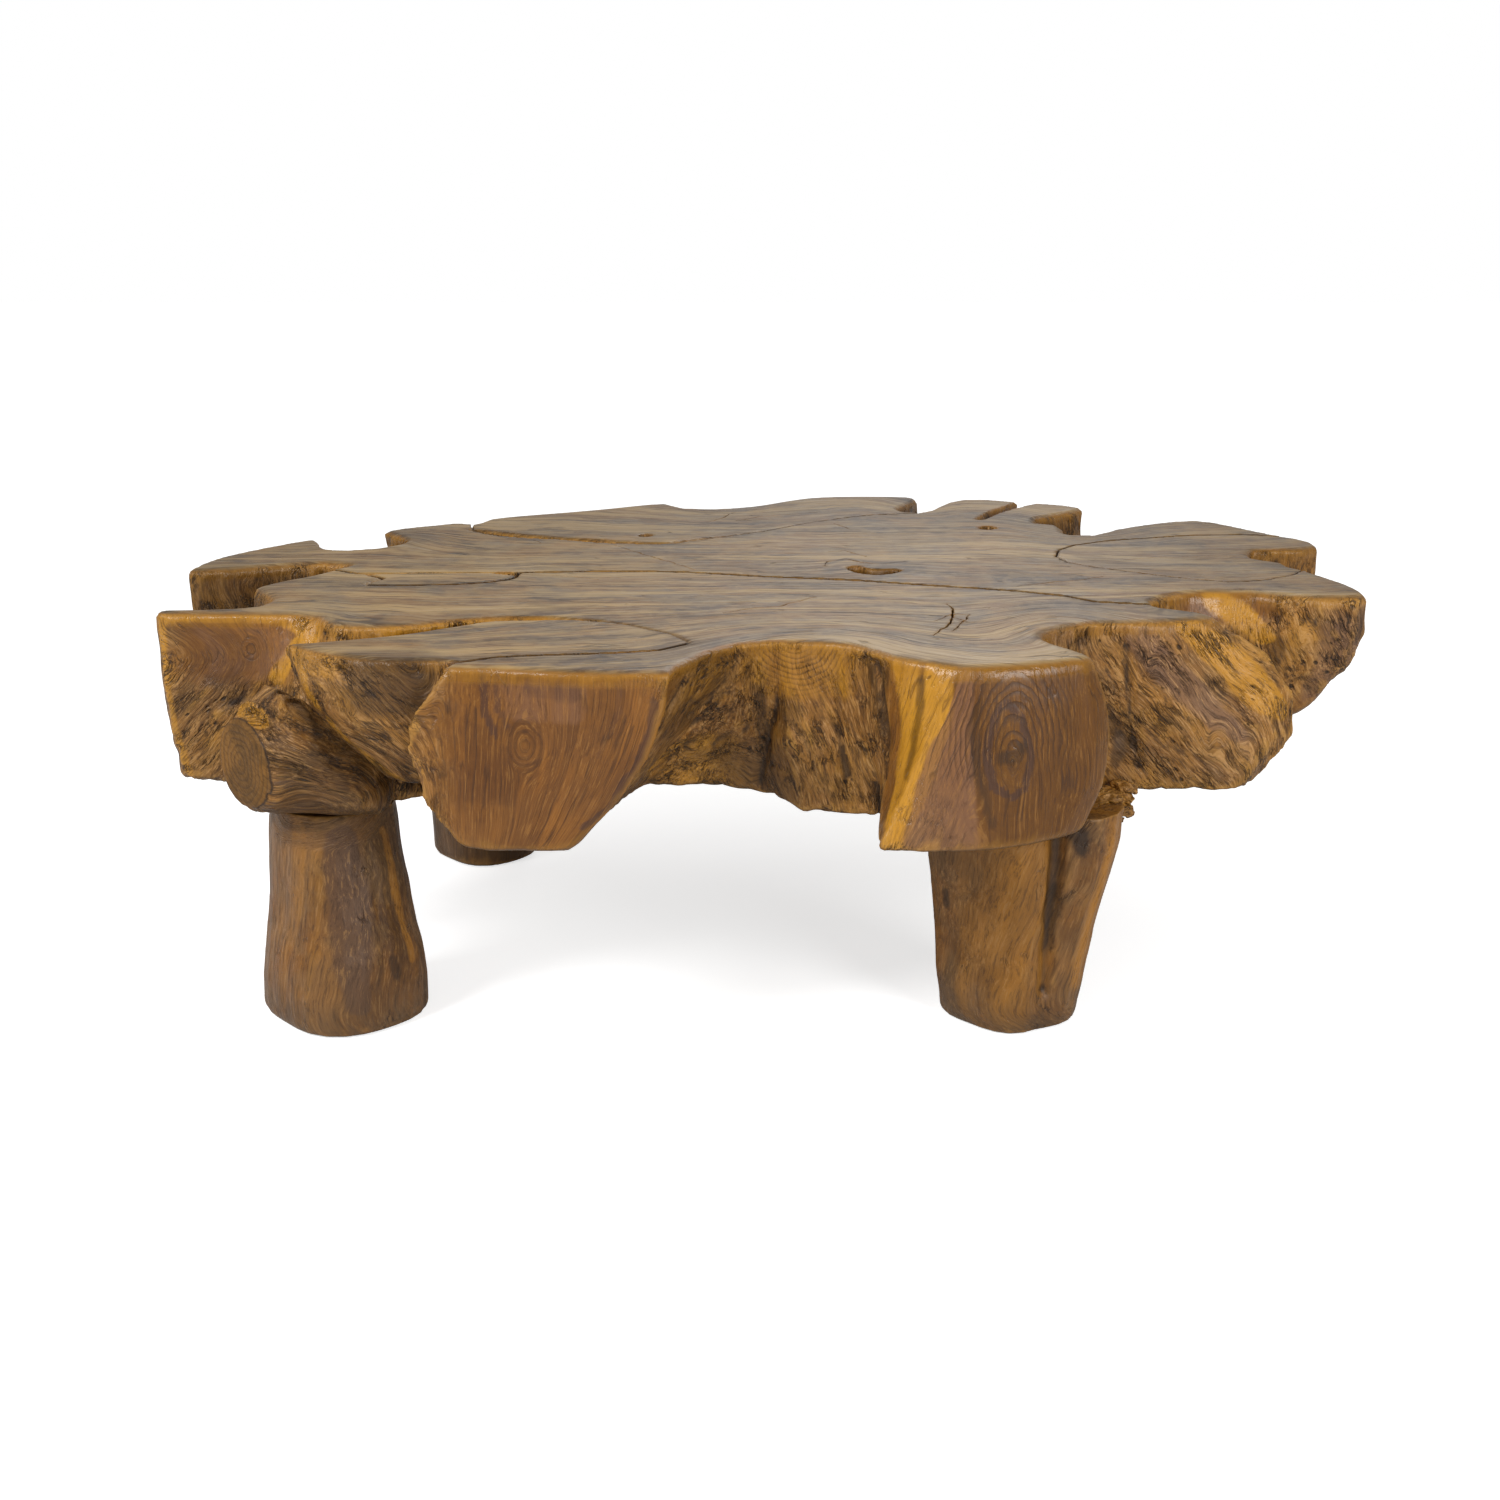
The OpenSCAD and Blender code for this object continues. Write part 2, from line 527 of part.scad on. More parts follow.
// A leg is a length of root. Each section gives the height as a share of the leg, the
// drift of its middle in x and y, and its swell. The bark folds in along a crevice.
module leg(k, foot_w, neck_w, depth, sections, fold) {
  function radius(a, h) =
    1 + 0.045 * cos(4 * a + 30) + 0.035 * cos(3 * (a - 50 - 30 * h))
    - fold[1] * (0.35 + 0.65 * h) * exp(-pow((a - fold[0]) / fold[2], 2));
  function ring(s, inset) =
    let (w = (foot_w + (neck_w - foot_w) * s[0]) * s[3] / 2 - inset)
    [for (i = [0:leg_sides - 1])
      let (a = 360 * i / leg_sides)
        put(leg_places[k]) + [s[1], s[2]] + radius(a, s[0]) * w * [cos(a), sin(a) * depth]
    ];
  foot = sections[len(sections) - 1];
  rings = concat(
    [for (s = sections) ring(s, 0)],
    [ring(foot, foot_r * 0.3), ring(foot, foot_r)]
  );
  heights = concat(
    [for (s = sections) foot_r + (leg_h - foot_r) * s[0]],
    [foot_r * 0.3, 0]
  );
  color(leg_wood) difference() {
    stack(rings, heights);
    leg_bore(k);
  }
}
front_left_sections = [
  [1, -10, 4, 0.95], [0.8, -8, 1, 0.95], [0.55, -3, -3, 0.96], [0.32, 0, -6, 1],
  [0.14, 0, -8, 1.01], [0, 0, -9, 0.98]
];
front_right_sections = [
  [1, 13, 2, 1.02], [0.85, 16, -1, 1.01], [0.65, 14, -5, 0.99], [0.42, 9, -9, 0.97],
  [0.2, 6, -13, 0.97], [0, 5, -15, 0.96]
];
rear_sections = [
  [1, -6, -18, 1], [0.8, -4, -14, 0.97], [0.5, -2, -10, 0.95], [0.25, 0, -10, 1],
  [0, 0, -12, 0.98]
];
module front_left_leg() {
  leg(0, left_foot_w, left_neck_w, 1.02, front_left_sections, [200, 0.05, 20]);
}
module front_right_leg() {
  leg(1, right_foot_w, right_neck_w, 0.98, front_right_sections, [292, 0.3, 17]);
}
module rear_left_leg() {
  leg(2, rear_foot_w, rear_neck_w, 1.02, rear_sections, [120, 0.08, 25]);
}
module rear_right_leg() {
  leg(3, rear_foot_w, rear_neck_w, 1.02, rear_sections, [60, 0.1, 20]);
}

// Dowels. Those of one kind are alike and share a node.
module leg_dowels() {
  color(dowel_wood) for (p = leg_dowel_places)
    translate(concat(put(p), [leg_h - leg_dowel_l / 2]))
      cylinder(h = leg_dowel_l, d = leg_dowel_d, $fn = 48);
}
module centre_seam_dowels() {
  color(dowel_wood) seam_pins(centre_dowels, crown_mid, seam_dowel_l);
}
module rear_root_dowels() {
  color(dowel_wood) seam_pins(rear_dowels, crown_mid, seam_dowel_l);
}
module right_infill_dowels() {
  color(dowel_wood) seam_pins(right_dowels, crown_mid, seam_dowel_l);
}
module front_left_infill_dowels() {
  color(dowel_wood) seam_pins(lens_dowels, lens_mid, filler_dowel_l);
}
module stub_dowel() {
  color(dowel_wood) lying(stub_dowel_at, stub_dowel_z, seam_dowel_d, filler_dowel_l);
}

front_crown();
rear_crown();
rear_left_root();
right_infill();
front_left_infill();
boat_patch();
left_root_stub();
front_left_leg();
front_right_leg();
rear_left_leg();
rear_right_leg();
leg_dowels();
centre_seam_dowels();
rear_root_dowels();
right_infill_dowels();
front_left_infill_dowels();
stub_dowel();
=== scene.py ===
import math
from itertools import product

import bmesh
import bpy
import numpy as np
from mathutils import Matrix, Vector
from mathutils.bvhtree import BVHTree
from mathutils.kdtree import KDTree


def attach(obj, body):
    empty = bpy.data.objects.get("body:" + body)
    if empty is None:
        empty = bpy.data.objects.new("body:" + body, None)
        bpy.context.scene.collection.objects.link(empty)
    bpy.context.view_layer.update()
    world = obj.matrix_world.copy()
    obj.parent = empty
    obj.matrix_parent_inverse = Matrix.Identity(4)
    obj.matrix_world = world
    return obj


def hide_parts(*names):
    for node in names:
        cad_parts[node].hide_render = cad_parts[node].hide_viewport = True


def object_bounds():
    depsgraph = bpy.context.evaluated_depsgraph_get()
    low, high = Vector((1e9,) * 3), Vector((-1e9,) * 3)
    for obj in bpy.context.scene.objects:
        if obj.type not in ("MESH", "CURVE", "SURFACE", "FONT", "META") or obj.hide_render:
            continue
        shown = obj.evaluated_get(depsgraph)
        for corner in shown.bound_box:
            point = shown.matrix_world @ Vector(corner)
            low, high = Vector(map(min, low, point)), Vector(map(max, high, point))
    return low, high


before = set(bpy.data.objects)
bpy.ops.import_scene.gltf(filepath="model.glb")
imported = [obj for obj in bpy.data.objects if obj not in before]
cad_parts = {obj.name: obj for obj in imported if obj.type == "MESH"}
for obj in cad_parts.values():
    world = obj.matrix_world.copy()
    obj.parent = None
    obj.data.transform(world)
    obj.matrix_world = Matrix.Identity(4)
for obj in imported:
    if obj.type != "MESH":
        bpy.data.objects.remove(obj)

# Coffee table of teak root: the looks. Each wooden piece is copied from its solid,
# given an even fine mesh, carved with the relief of the root, and finished with a
# satin top, smooth sawn faces and rough fibrous walls.

CAD_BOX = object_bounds()
MM = 0.001
TOP = CAD_BOX[1].z
RIM_REACH = 6 * MM


# ---------- places on the table
# All places are in millimetres from the middle of the table on the floor.

TABLE_HIGH = 450

# Open grooves worn into the top: x, y and half the width.
GOLDEN_GROOVE = [
    (-400, 270, 3), (-380, 255, 7), (-350, 232, 12), (-315, 218, 10), (-275, 205, 7),
    (-235, 192, 9), (-200, 180, 8), (-160, 172, 6), (-125, 173, 5), (-85, 200, 4),
    (-50, 220, 3), (-25, 240, 2),
]
LENS_GROOVE = [
    (-500, -366, 3), (-470, -360, 6), (-400, -326, 9), (-350, -290, 8), (-300, -272, 7),
    (-250, -272, 5), (-190, -290, 3),
]

# Cracks in the top: the piece they run in, their width, and x, y along them.
CRACKS = [
    ("front_crown", 3.6, [(181, -362), (193, -332), (203, -307), (210, -272), (213, -228),
                          (207, -200)]),
    ("front_crown", 2.6, [(203, -340), (215, -307), (222, -284), (228, -256)]),
    ("front_crown", 2.0, [(214, -276), (223, -296), (232, -296)]),
    ("front_crown", 2.0, [(190, -288), (203, -264), (216, -254), (230, -262)]),
    ("front_crown", 1.9, [(-50, -248), (-12, -219), (15, -210), (35, -187), (56, -160)]),
    ("front_crown", 1.8, [(-300, -30), (-270, -36), (-235, -42), (-205, -60)]),
    ("rear_crown", 2.6, [(72, 22), (77, 48), (100, 66), (118, 44), (146, 36), (174, 50)]),
    ("rear_crown", 1.8, [(80, 114), (102, 119), (126, 81)]),
    ("rear_crown", 1.8, [(-196, 160), (-175, 125), (-150, 85), (-120, 45), (-90, 0)]),
    ("rear_crown", 1.5, [(-305, 190), (-298, 180), (-295, 170)]),
    ("rear_crown", 2.0, [(300, -100), (340, -80), (385, -60), (410, -40)]),
    ("rear_crown", 1.6, [(92, 310), (104, 290), (114, 268)]),
    ("rear_left_root", 1.7, [(-78, 322), (-60, 352), (-44, 392)]),
    ("rear_left_root", 1.3, [(-40, 330), (-10, 362), (30, 380), (75, 400)]),
    ("right_infill", 1.2, [(450, 60), (500, 78), (560, 84), (600, 84)]),
]

# Deep crevices in the walls: half the width, the depth, and x, y, z along them.
CREVICES = [
    (8, 7, [(112, -436, 446), (118, -441, 396), (124, -446, 330), (126, -436, 262)]),
    (10, 9, [(-512, -296, 430), (-522, -306, 357), (-522, -326, 300)]),
    (8, 9, [(322, -403, 246), (320, -402, 195), (314, -402, 137), (311, -405, 50)]),
    (5, 5, [(368, -352, 246), (356, -372, 216), (342, -392, 180)]),
    (7, 5, [(-470, -432, 400), (-440, -450, 350), (-405, -458, 312)]),
    (6, 5, [(-60, -440, 440), (-92, -410, 370), (-118, -376, 300)]),
    (7, 6, [(10, -392, 440), (4, -372, 370), (-8, -340, 300), (-12, -316, 262)]),
    (5, 4, [(70, -396, 440), (78, -392, 370), (86, -390, 290)]),
    (5, 4, [(404, -292, 420), (412, -290, 340), (424, -288, 280)]),
    (6, 4, [(-660, -252, 300), (-640, -256, 340), (-600, -262, 352), (-560, -272, 372)]),
    (7, 6, [(606, -142, 420), (598, -134, 360), (590, -112, 300)]),
    (5, 4, [(648, -156, 420), (636, -148, 370), (616, -128, 310)]),
    (5, 4, [(-500, -440, 330), (-470, -432, 300), (-440, -424, 280)]),
    (4, 4, [(-588, -380, 352), (-560, -400, 366), (-530, -420, 340), (-500, -436, 300)]),
]

# Holes and bumps in the walls: x, y, z, radius, and the height, below zero for a hole.
SPOTS = [
    (256, -500, 352, 5, -5), (263, -500, 339, 3, -4), (249, -500, 334, 3, -3),
    (532, -272, 372, 4, -6), (401, -292, 317, 14, -6), (417, -290, 305, 9, -5),
    (514, -275, 312, 8, -4), (514, -275, 312, 16, 3), (550, -268, 306, 10, 2.5),
    (-593, -258, 409, 4, -3), (194, -427, 165, 6, -7), (-436, -400, 236, 5, -5),
    (-478, -422, 165, 13, -3), (108, -410, 321, 6, 4), (55, -388, 412, 3, -4),
    (-4, -390, 414, 3, -4), (-630, -256, 336, 14, 3), (-376, -497, 384, 13, 6),
    (-372, -490, 352, 6, -5), (-335, -506, 400, 10, -3), (-100, -330, 330, 22, 6),
    (20, -382, 330, 26, 7), (70, -392, 350, 14, -4), (-390, -468, 350, 24, 4),
    (-455, -446, 390, 20, -4), (-540, -430, 300, 22, 4), (-560, -390, 350, 14, -4),
    (-660, 30, 340, 30, 5), (610, 320, 350, 30, 5), (110, 522, 350, 34, 5),
    (-250, 412, 340, 30, 5), (-560, 140, 330, 26, 5), (-420, -350, 120, 24, -4),
    (206, -380, 90, 30, -3), (350, -350, 150, 22, -5), (-540, -380, 120, 26, -3),
]

# Zones by finish: how strong it is, the middle, and half the width, depth and height.
ZONES = {
    "sawn": [
        (1.0, (-225, -512, 350), (134, 36, 125)), (1.0, (262, -482, 345), (116, 56, 125)),
        (0.8, (160, -486, 360), (44, 44, 112)), (0.9, (-605, -252, 412), (74, 36, 44)),
        (0.7, (672, -152, 300), (70, 44, 24)), (0.65, (38, -385, 414), (54, 40, 32)),
        (0.9, (548, -152, 434), (56, 40, 20)), (0.5, (-150, -440, 400), (30, 60, 60)),
    ],
    "gold": [
        (0.45, (254, -508, 350), (24, 24, 50)), (0.5, (-85, -310, 285), (70, 60, 42)),
        (0.6, (36, -385, 415), (66, 40, 34)), (0.5, (-60, -420, 380), (30, 60, 60)),
        (0.6, (-470, 200, 430), (40, 60, 22)), (0.5, (-480, -400, 436), (60, 60, 16)),
    ],
    "amber": [
        (1.2, (296, -490, 350), (88, 60, 130)),
    ],
    "purple": [
        (0.7, (694, -120, 350), (56, 60, 90)), (0.5, (-235, -514, 415), (70, 30, 26)),
        (0.5, (-605, -252, 412), (66, 36, 38)),
    ],
    # Dark zones: knots on the front right face and by the flank; painted shade in the recess, under the
    # rim of the front left infill, inside the hole in the top, and on and below the stub; painted shade
    # that darkens the back of the top; and darker patches on the back and side walls.
    "dark": [
        (0.6, (-80, -440, 400), (44, 80, 60)), (0.9, (-405, -462, 418), (52, 40, 34)),
        (0.95, (130, -4, 428), (40, 34, 20)), (0.95, (253, -510, 353), (11, 20, 8)),
        (0.9, (266, -507, 362), (6, 20, 6)), (0.22, (-470, -430, 360), (90, 60, 80)),
        (0.5, (124, -444, 352), (12, 16, 22)), (0.2, (60, 400, 450), (480, 170, 20)),
        (0.18, (-560, 180, 450), (170, 170, 20)), (0.2, (600, 230, 450), (200, 200, 20)),
        (0.8, (-650, 12, 360), (110, 44, 100)), (0.8, (-480, 205, 340), (50, 90, 110)),
        (0.8, (200, 450, 340), (40, 80, 110)), (0.8, (400, 320, 340), (60, 110, 110)),
        (0.5, (-640, -150, 350), (70, 110, 110)), (0.8, (660, 60, 350), (60, 80, 110)),
        (0.7, (-20, -350, 290), (50, 60, 40)), (0.6, (-480, -430, 300), (50, 50, 40)),
    ],
}

# Strokes on the walls by finish: how strong it is, and x, y, z and half the width along it.
WALL_STROKES = {
    "gold": [
        # The first four strokes, on the golden flank at the front, the band on the right front wall and
        # the cove on the right root, are golden wood with painted light where these faces catch the lamp.
        (0.85, [(145, -468, 442, 20), (152, -484, 384, 20), (141, -495, 332, 18), (137, -515, 270, 14)]),
        (1.1, [(181, -490, 445, 20), (175, -503, 403, 20), (163, -512, 355, 18), (147, -517, 306, 16),
            (133, -520, 262, 13)]),
        (1.0, [(472, -280, 443, 13), (522, -276, 404, 22), (557, -273, 368, 24), (588, -268, 342, 14)]),
        (1.0, [(532, -131, 439, 16), (555, -134, 427, 18), (591, -146, 399, 12)]),
        (0.8, [(-694, -246, 445, 7), (-562, -250, 445, 9), (-522, -268, 431, 14)]),
        (0.7, [(-697, -246, 440, 8), (-691, -250, 326, 7), (-673, -254, 258, 6)]),
        (0.9, [(-520, -268, 430, 12), (-545, -268, 404, 14), (-562, -268, 376, 10)]),
        (1.0, [(-514, -406, 444, 10), (-503, -421, 417, 10), (-491, -423, 387, 8)]),
        (0.8, [(-481, -425, 373, 6), (-464, -433, 359, 6), (-445, -436, 341, 6), (-425, -437, 323, 6),
            (-400, -436, 307, 6)]),
        # Painted highlight along the upper ridge of the stub.
        (1.0, [(-586, -362, 368, 9), (-572, -390, 372, 12), (-556, -412, 366, 12)]),
        (0.4, [(-524, -388, 238, 12), (-529, -391, 150, 14), (-548, -387, 80, 14), (-554, -386, 24, 12)]),
        (0.5, [(-433, -362, 225, 6), (-420, -368, 142, 8), (-406, -366, 74, 6)]),
        (0.5, [(260, -410, 240, 70), (255, -410, 60, 70)]),
        (0.5, [(380, -360, 240, 30), (352, -370, 60, 26)]),
        (0.6, [(10, -388, 444, 8), (50, -392, 440, 10), (92, -400, 436, 8)]),
        (0.7, [(-480, -350, 444, 12), (-422, -322, 445, 14), (-340, -284, 447, 12), (-250, -268, 449, 9),
            (-160, -300, 450, 6), (-84, -386, 450, 7)]),
    ],
    "purple": [
        (1.2, [(206, -506, 444, 6), (200, -510, 400, 16), (188, -515, 352, 26), (184, -518, 300, 36),
            (182, -518, 262, 42)]),
        (0.8, [(420, -292, 428, 18), (462, -288, 385, 22), (500, -282, 345, 20), (548, -272, 302, 16)]),
        (0.8, [(-478, -395, 225, 20), (-468, -405, 153, 26), (-465, -417, 90, 26), (-462, -425, 44, 18)]),
    ],
    "plum": [
        (0.8, [(-300, -510, 442, 5), (-296, -514, 400, 6), (-288, -517, 376, 4)]),
        (0.6, [(-286, -511, 442, 4), (-283, -515, 405, 5), (-276, -518, 384, 4)]),
        (0.9, [(-124, -520, 444, 7), (-120, -528, 406, 7), (-137, -527, 352, 6), (-165, -523, 305, 5),
            (-198, -524, 278, 4)]),
        (0.6, [(-158, -529, 444, 5), (-161, -530, 404, 6), (-178, -528, 355, 5)]),
        (0.4, [(-250, -519, 430, 12), (-214, -526, 426, 14), (-180, -530, 431, 8)]),
        (0.9, [(236, -508, 400, 5), (249, -504, 410, 5), (268, -503, 390, 5), (276, -502, 350, 6),
            (270, -506, 318, 5), (256, -512, 306, 5), (236, -516, 320, 6), (229, -514, 360, 6),
            (236, -508, 400, 5)]),
    ],
    # Dark strokes: streaks, knots and dark lines along crevices and holes, with painted shade where
    # marked below.
    "dark": [
        (0.6, [(134, -448, 440, 6), (140, -458, 390, 5), (134, -464, 330, 5)]),
        (0.9, [(388, -296, 334, 8), (408, -294, 308, 15), (398, -294, 285, 7)]),
        # Painted shade in the hollow of the right root.
        (0.8, [(606, -150, 388, 12), (598, -146, 350, 10)]),
        (0.6, [(703, -150, 428, 9), (705, -150, 398, 9)]),
        (0.9, [(-370, -498, 376, 9), (-359, -504, 354, 8), (-347, -509, 332, 6)]),
        # Painted shadow between the stub and the front left infill.
        (0.9, [(-515, -382, 374, 11), (-487, -438, 335, 13), (-465, -438, 302, 12)]),
        (0.8, [(-424, -391, 80, 7), (-420, -390, 60, 8)]),
        (1.0, [(332, -404, 246, 13), (346, -401, 230, 12), (349, -399, 214, 9)]),
        (0.5, [(325, -397, 198, 6), (321, -398, 148, 6), (317, -399, 98, 4)]),
        (0.9, [(199, -370, 154, 6), (201, -370, 140, 7)]),
        (0.9, [(160, -484, 430, 5), (158, -491, 380, 7), (149, -503, 325, 6)]),
        (0.7, [(190, -498, 440, 4), (182, -502, 400, 6), (172, -508, 360, 5)]),
        (0.8, [(125, -446, 425, 7), (121, -434, 391, 10), (125, -436, 364, 9)]),
        (0.8, [(220, -509, 414, 4), (214, -514, 380, 6), (218, -518, 343, 6), (227, -518, 311, 5),
            (234, -519, 279, 4)]),
        (0.9, [(-12, -362, 400, 6), (-8, -356, 366, 10), (-6, -350, 335, 11), (2, -349, 306, 11),
            (8, -341, 269, 10)]),
        (0.7, [(104, -420, 440, 5), (112, -432, 396, 7), (118, -440, 330, 8)]),
    ],
}

# Strokes on the top by finish: how strong it is, and x, y and half the width along it.
TOP_STROKES = {
    "gold": [
        (0.7, [(-293, -19, 7), (-206, -12, 13), (-100, 2, 15), (3, -8, 13), (77, -46, 12),
            (160, -72, 6)]),
        (0.8, [(-156, 106, 9), (-99, 86, 16), (-66, 96, 8)]),
        (0.6, [(-100, 100, 8), (-18, 0, 14), (109, -76, 10)]),
        (0.7, [(270, 86, 12), (384, 48, 22), (440, -5, 14), (500, -50, 10)]),
        (0.8, [(382, 122, 10), (408, 80, 16), (463, 6, 20), (524, -40, 14)]),
        (0.7, [(-320, -462, 7), (-217, -446, 9), (-105, -424, 8)]),
        (0.6, [(-272, -200, 7), (-241, -219, 11), (-206, -206, 6)]),
        (0.9, [(-396, 268, 15), (-309, 218, 20), (-216, 178, 16), (-128, 165, 12), (-63, 222, 9),
            (5, 300, 8)]),
    ],
    "purple": [
        (0.6, [(250, -130, 26), (360, -230, 34), (330, -330, 20)]),
    ],
    "dark": [
        (0.9, [(-484, -92, 3), (-450, -96, 6), (-405, -92, 5), (-332, -72, 3), (-309, -50, 5),
            (-306, -20, 5)]),
        (0.7, [(-34, -332, 5), (-15, -325, 7)]),
        (0.8, [(76, 36, 6), (100, 66, 6), (145, 40, 7), (174, 48, 6)]),
        (0.5, [(275, -132, 4), (320, -146, 6), (368, -176, 5)]),
        (0.4, [(-120, -60, 9), (10, -84, 12), (120, -100, 9)]),
    ],
}

# How far the fibres of a wall lean to the right as they rise: the lean, the middle and
# half the width, depth and height of the zone.
LEANS = [
    (0.9, (-640, -250, 320), (70, 60, 100)), (-0.9, (450, -285, 340), (130, 60, 130)),
    (-1.1, (-440, -430, 370), (90, 90, 110)), (0.34, (170, -490, 340), (52, 60, 140)),
    (-0.5, (650, -150, 340), (80, 60, 130)), (0.5, (-100, -360, 330), (80, 120, 130)),
    (-0.4, (70, -380, 330), (60, 60, 130)), (0.6, (600, 300, 340), (120, 120, 130)),
    (-0.5, (-600, 120, 340), (140, 160, 130)), (0.5, (350, 460, 340), (120, 120, 130)),
    (-0.5, (-250, 410, 340), (200, 100, 130)), (-1.5, (-530, -420, 310), (110, 70, 80)),
    (0.28, (274, -380, 125), (140, 130, 130)), (0.12, (-485, -380, 125), (140, 130, 130)),
]

# The sawn end of the stub: x and y of its middle, and the slope of its plane.
STUB_END = (-579, -410)
STUB_END_SLOPE = 0.87

# The front left face: its left edge, its right edge at the top, how far the right edge
# swings in towards the bottom, the height where it starts, and how far down it goes.
FACE_LEFT, FACE_RIGHT, FACE_SWING, FACE_HIGH, FACE_DROP = -335, -109, 88, 445, 185

# Eyes that the fibres part round: x, y, z and radius.
EYES = [
    (-257, -518, 368, 17), (256, -500, 345, 10), (-593, -254, 409, 9), (514, -275, 312, 13),
    (550, -268, 306, 9), (123, -440, 358, 10), (-436, -425, 262, 6),
    (-90, -320, 320, 12), (440, -288, 400, 10), (640, -150, 400, 8), (-560, -395, 350, 9),
]

# Hearts that the growth rings close round: x, y, z, how much the rings are squeezed in
# width and height, how far they reach, how strong they are, and the share left below.
HEARTS = [
    ((-257, -518, 370), (1.0, 0.62), 24, 0.5, 1.0),
    ((256, -500, 352), (1.0, 0.52), 84, 0.9, 0.15),
    ((26, -385, 462), (0.9, 1.0), 84, 1.0, 1.0),
    ((-593, -254, 409), (1.0, 0.8), 14, 0.8, 1.0),
    ((514, -275, 312), (1.0, 1.0), 19, 0.8, 1.0),
    ((550, -268, 306), (1.0, 0.9), 13, 0.7, 1.0),
    ((-582, -412, 318), (1.0, 0.8), 58, 0.4, 1.0),
]

# Bends of the grain on the top: the middle, how far it pushes the lines back, and the
# reach in x and y.
BENDS = [
    (45, -385, 130, 125, 130), (330, -310, 110, 70, 120), (-420, -330, -70, 150, 90),
    (-60, 430, -70, 110, 110), (-480, 200, 60, 70, 90), (420, 300, -90, 70, 150),
    (140, 0, 26, 90, 60), (-400, -60, 24, 110, 60), (560, 80, -40, 160, 110),
    (-640, 20, 50, 110, 60), (210, 440, -60, 50, 90), (470, -190, 60, 90, 60),
]


# ---------- numbers and fields

def soft(low, high, x):
    """0 up to low, 1 from high on, and a smooth ramp between them."""
    t = np.clip((x - low) / (high - low), 0, 1)
    return t * t * (3 - 2 * t)


def cell_value(cell, seed):
    """One fixed value from 0 to 1 for each whole-number cell."""
    h = cell[:, 0] * 73856093 ^ cell[:, 1] * 19349663 ^ cell[:, 2] * 83492791 ^ seed * 97531
    h = (h & 0x7FFFFFFF) * 1103515245 + 12345
    h = ((h >> 7) ^ h) & 0x7FFFFFFF
    h = h * 69069 + 1
    return ((h >> 9) & 0xFFFF) / 65535.0


def noise(p, seed):
    """Smooth noise from 0 to 1 with cells one unit wide."""
    low = np.floor(p).astype(np.int64)
    f = p - low
    f = f * f * (3 - 2 * f)
    total = np.zeros(len(p))
    for corner in product((0, 1), repeat=3):
        side = np.array(corner)
        share = np.prod(np.where(side == 1, f, 1 - f), axis=1)
        total += share * cell_value(low + side, seed)
    return total


def layered(p, seed, layers):
    """Noise with finer noise on it, from 0 to 1."""
    total = np.zeros(len(p))
    weight = 0.0
    for k in range(layers):
        total += noise(p * 2.03 ** k + 11.7 * k, seed + k) * 0.5 ** k
        weight += 0.5 ** k
    return total / weight


def line_reach(p, line):
    """Distance of each point from a line, and the line's last column there."""
    line = np.asarray(line, float)
    size = p.shape[1]
    best = np.full(len(p), 1e9)
    value = np.zeros(len(p))
    for a, b in zip(line[:-1], line[1:]):
        run = b[:size] - a[:size]
        t = np.clip((p - a[:size]) @ run / max(run @ run, 1e-9), 0, 1)
        d = np.linalg.norm(p - (a[:size] + t[:, None] * run), axis=1)
        near = d < best
        best[near] = d[near]
        value[near] = (a[-1] + (b[-1] - a[-1]) * t)[near]
    return best, value


def ragged(p, size=0.03, amount=0.010):
    """The points moved about a little, so that borders between finishes are uneven."""
    moved = p.copy()
    for axis in range(3):
        moved[:, axis] += amount * (layered(p / size, 300 + axis, 3) - 0.5)
    return moved


def zone_share(p, middle, half):
    """1 in the middle of a box with soft sides, 0 outside it."""
    q = np.abs((p - np.array(middle) * MM) / (np.array(half) * MM))
    far = np.power((q ** 4).sum(axis=1), 0.25)
    return soft(1.25, 0.7, far)


def stroke_share(p, line):
    """1 along a line of changing width, 0 outside it."""
    d, half = line_reach(p, np.array(line, float) * MM)
    return soft(1.3, 0.6, d / half)


def zones(place, finish):
    """Share of each ragged place that has the given finish."""
    total = np.zeros(len(place))
    for strength, middle, half in ZONES.get(finish, []):
        total = np.maximum(total, strength * zone_share(place, middle, half))
    on_top = [(s, [(x, y, TABLE_HIGH, h) for x, y, h in line]) for s, line in TOP_STROKES.get(finish, [])]
    for strength, line in WALL_STROKES.get(finish, []) + on_top:
        total = np.maximum(total, strength * stroke_share(place, line))
    return total.clip(0, 1)


def sawn_end(p):
    """1 on the sawn end of the stub, 0 on its sides."""
    x, y = STUB_END
    behind = p[:, 0] - x * MM + STUB_END_SLOPE * (p[:, 1] - y * MM)
    return soft(7 * MM, 2 * MM, behind)


# ---------- mesh tools

def rows_of(items, name, width, kind):
    """One value of each vertex or edge, as the rows of an array."""
    values = np.empty(len(items) * width, kind)
    items.foreach_get(name, values)
    return values.reshape(-1, width)


def points_of(mesh):
    return rows_of(mesh.vertices, "co", 3, float)


def normals_of(mesh):
    return rows_of(mesh.vertices, "normal", 3, np.float32).astype(float)


def edges_of(mesh):
    return rows_of(mesh.edges, "vertices", 2, np.int32)


def new_object(name, data):
    obj = bpy.data.objects.new(name, data)
    bpy.context.scene.collection.objects.link(obj)
    return obj


def mesh_from(work, name):
    mesh = bpy.data.meshes.new(name)
    work.to_mesh(mesh)
    work.free()
    return mesh


def set_points(mesh, p):
    p = np.clip(p, np.array(CAD_BOX[0]), np.array(CAD_BOX[1]))
    mesh.vertices.foreach_set("co", p.astype(np.float32).ravel())
    mesh.update()


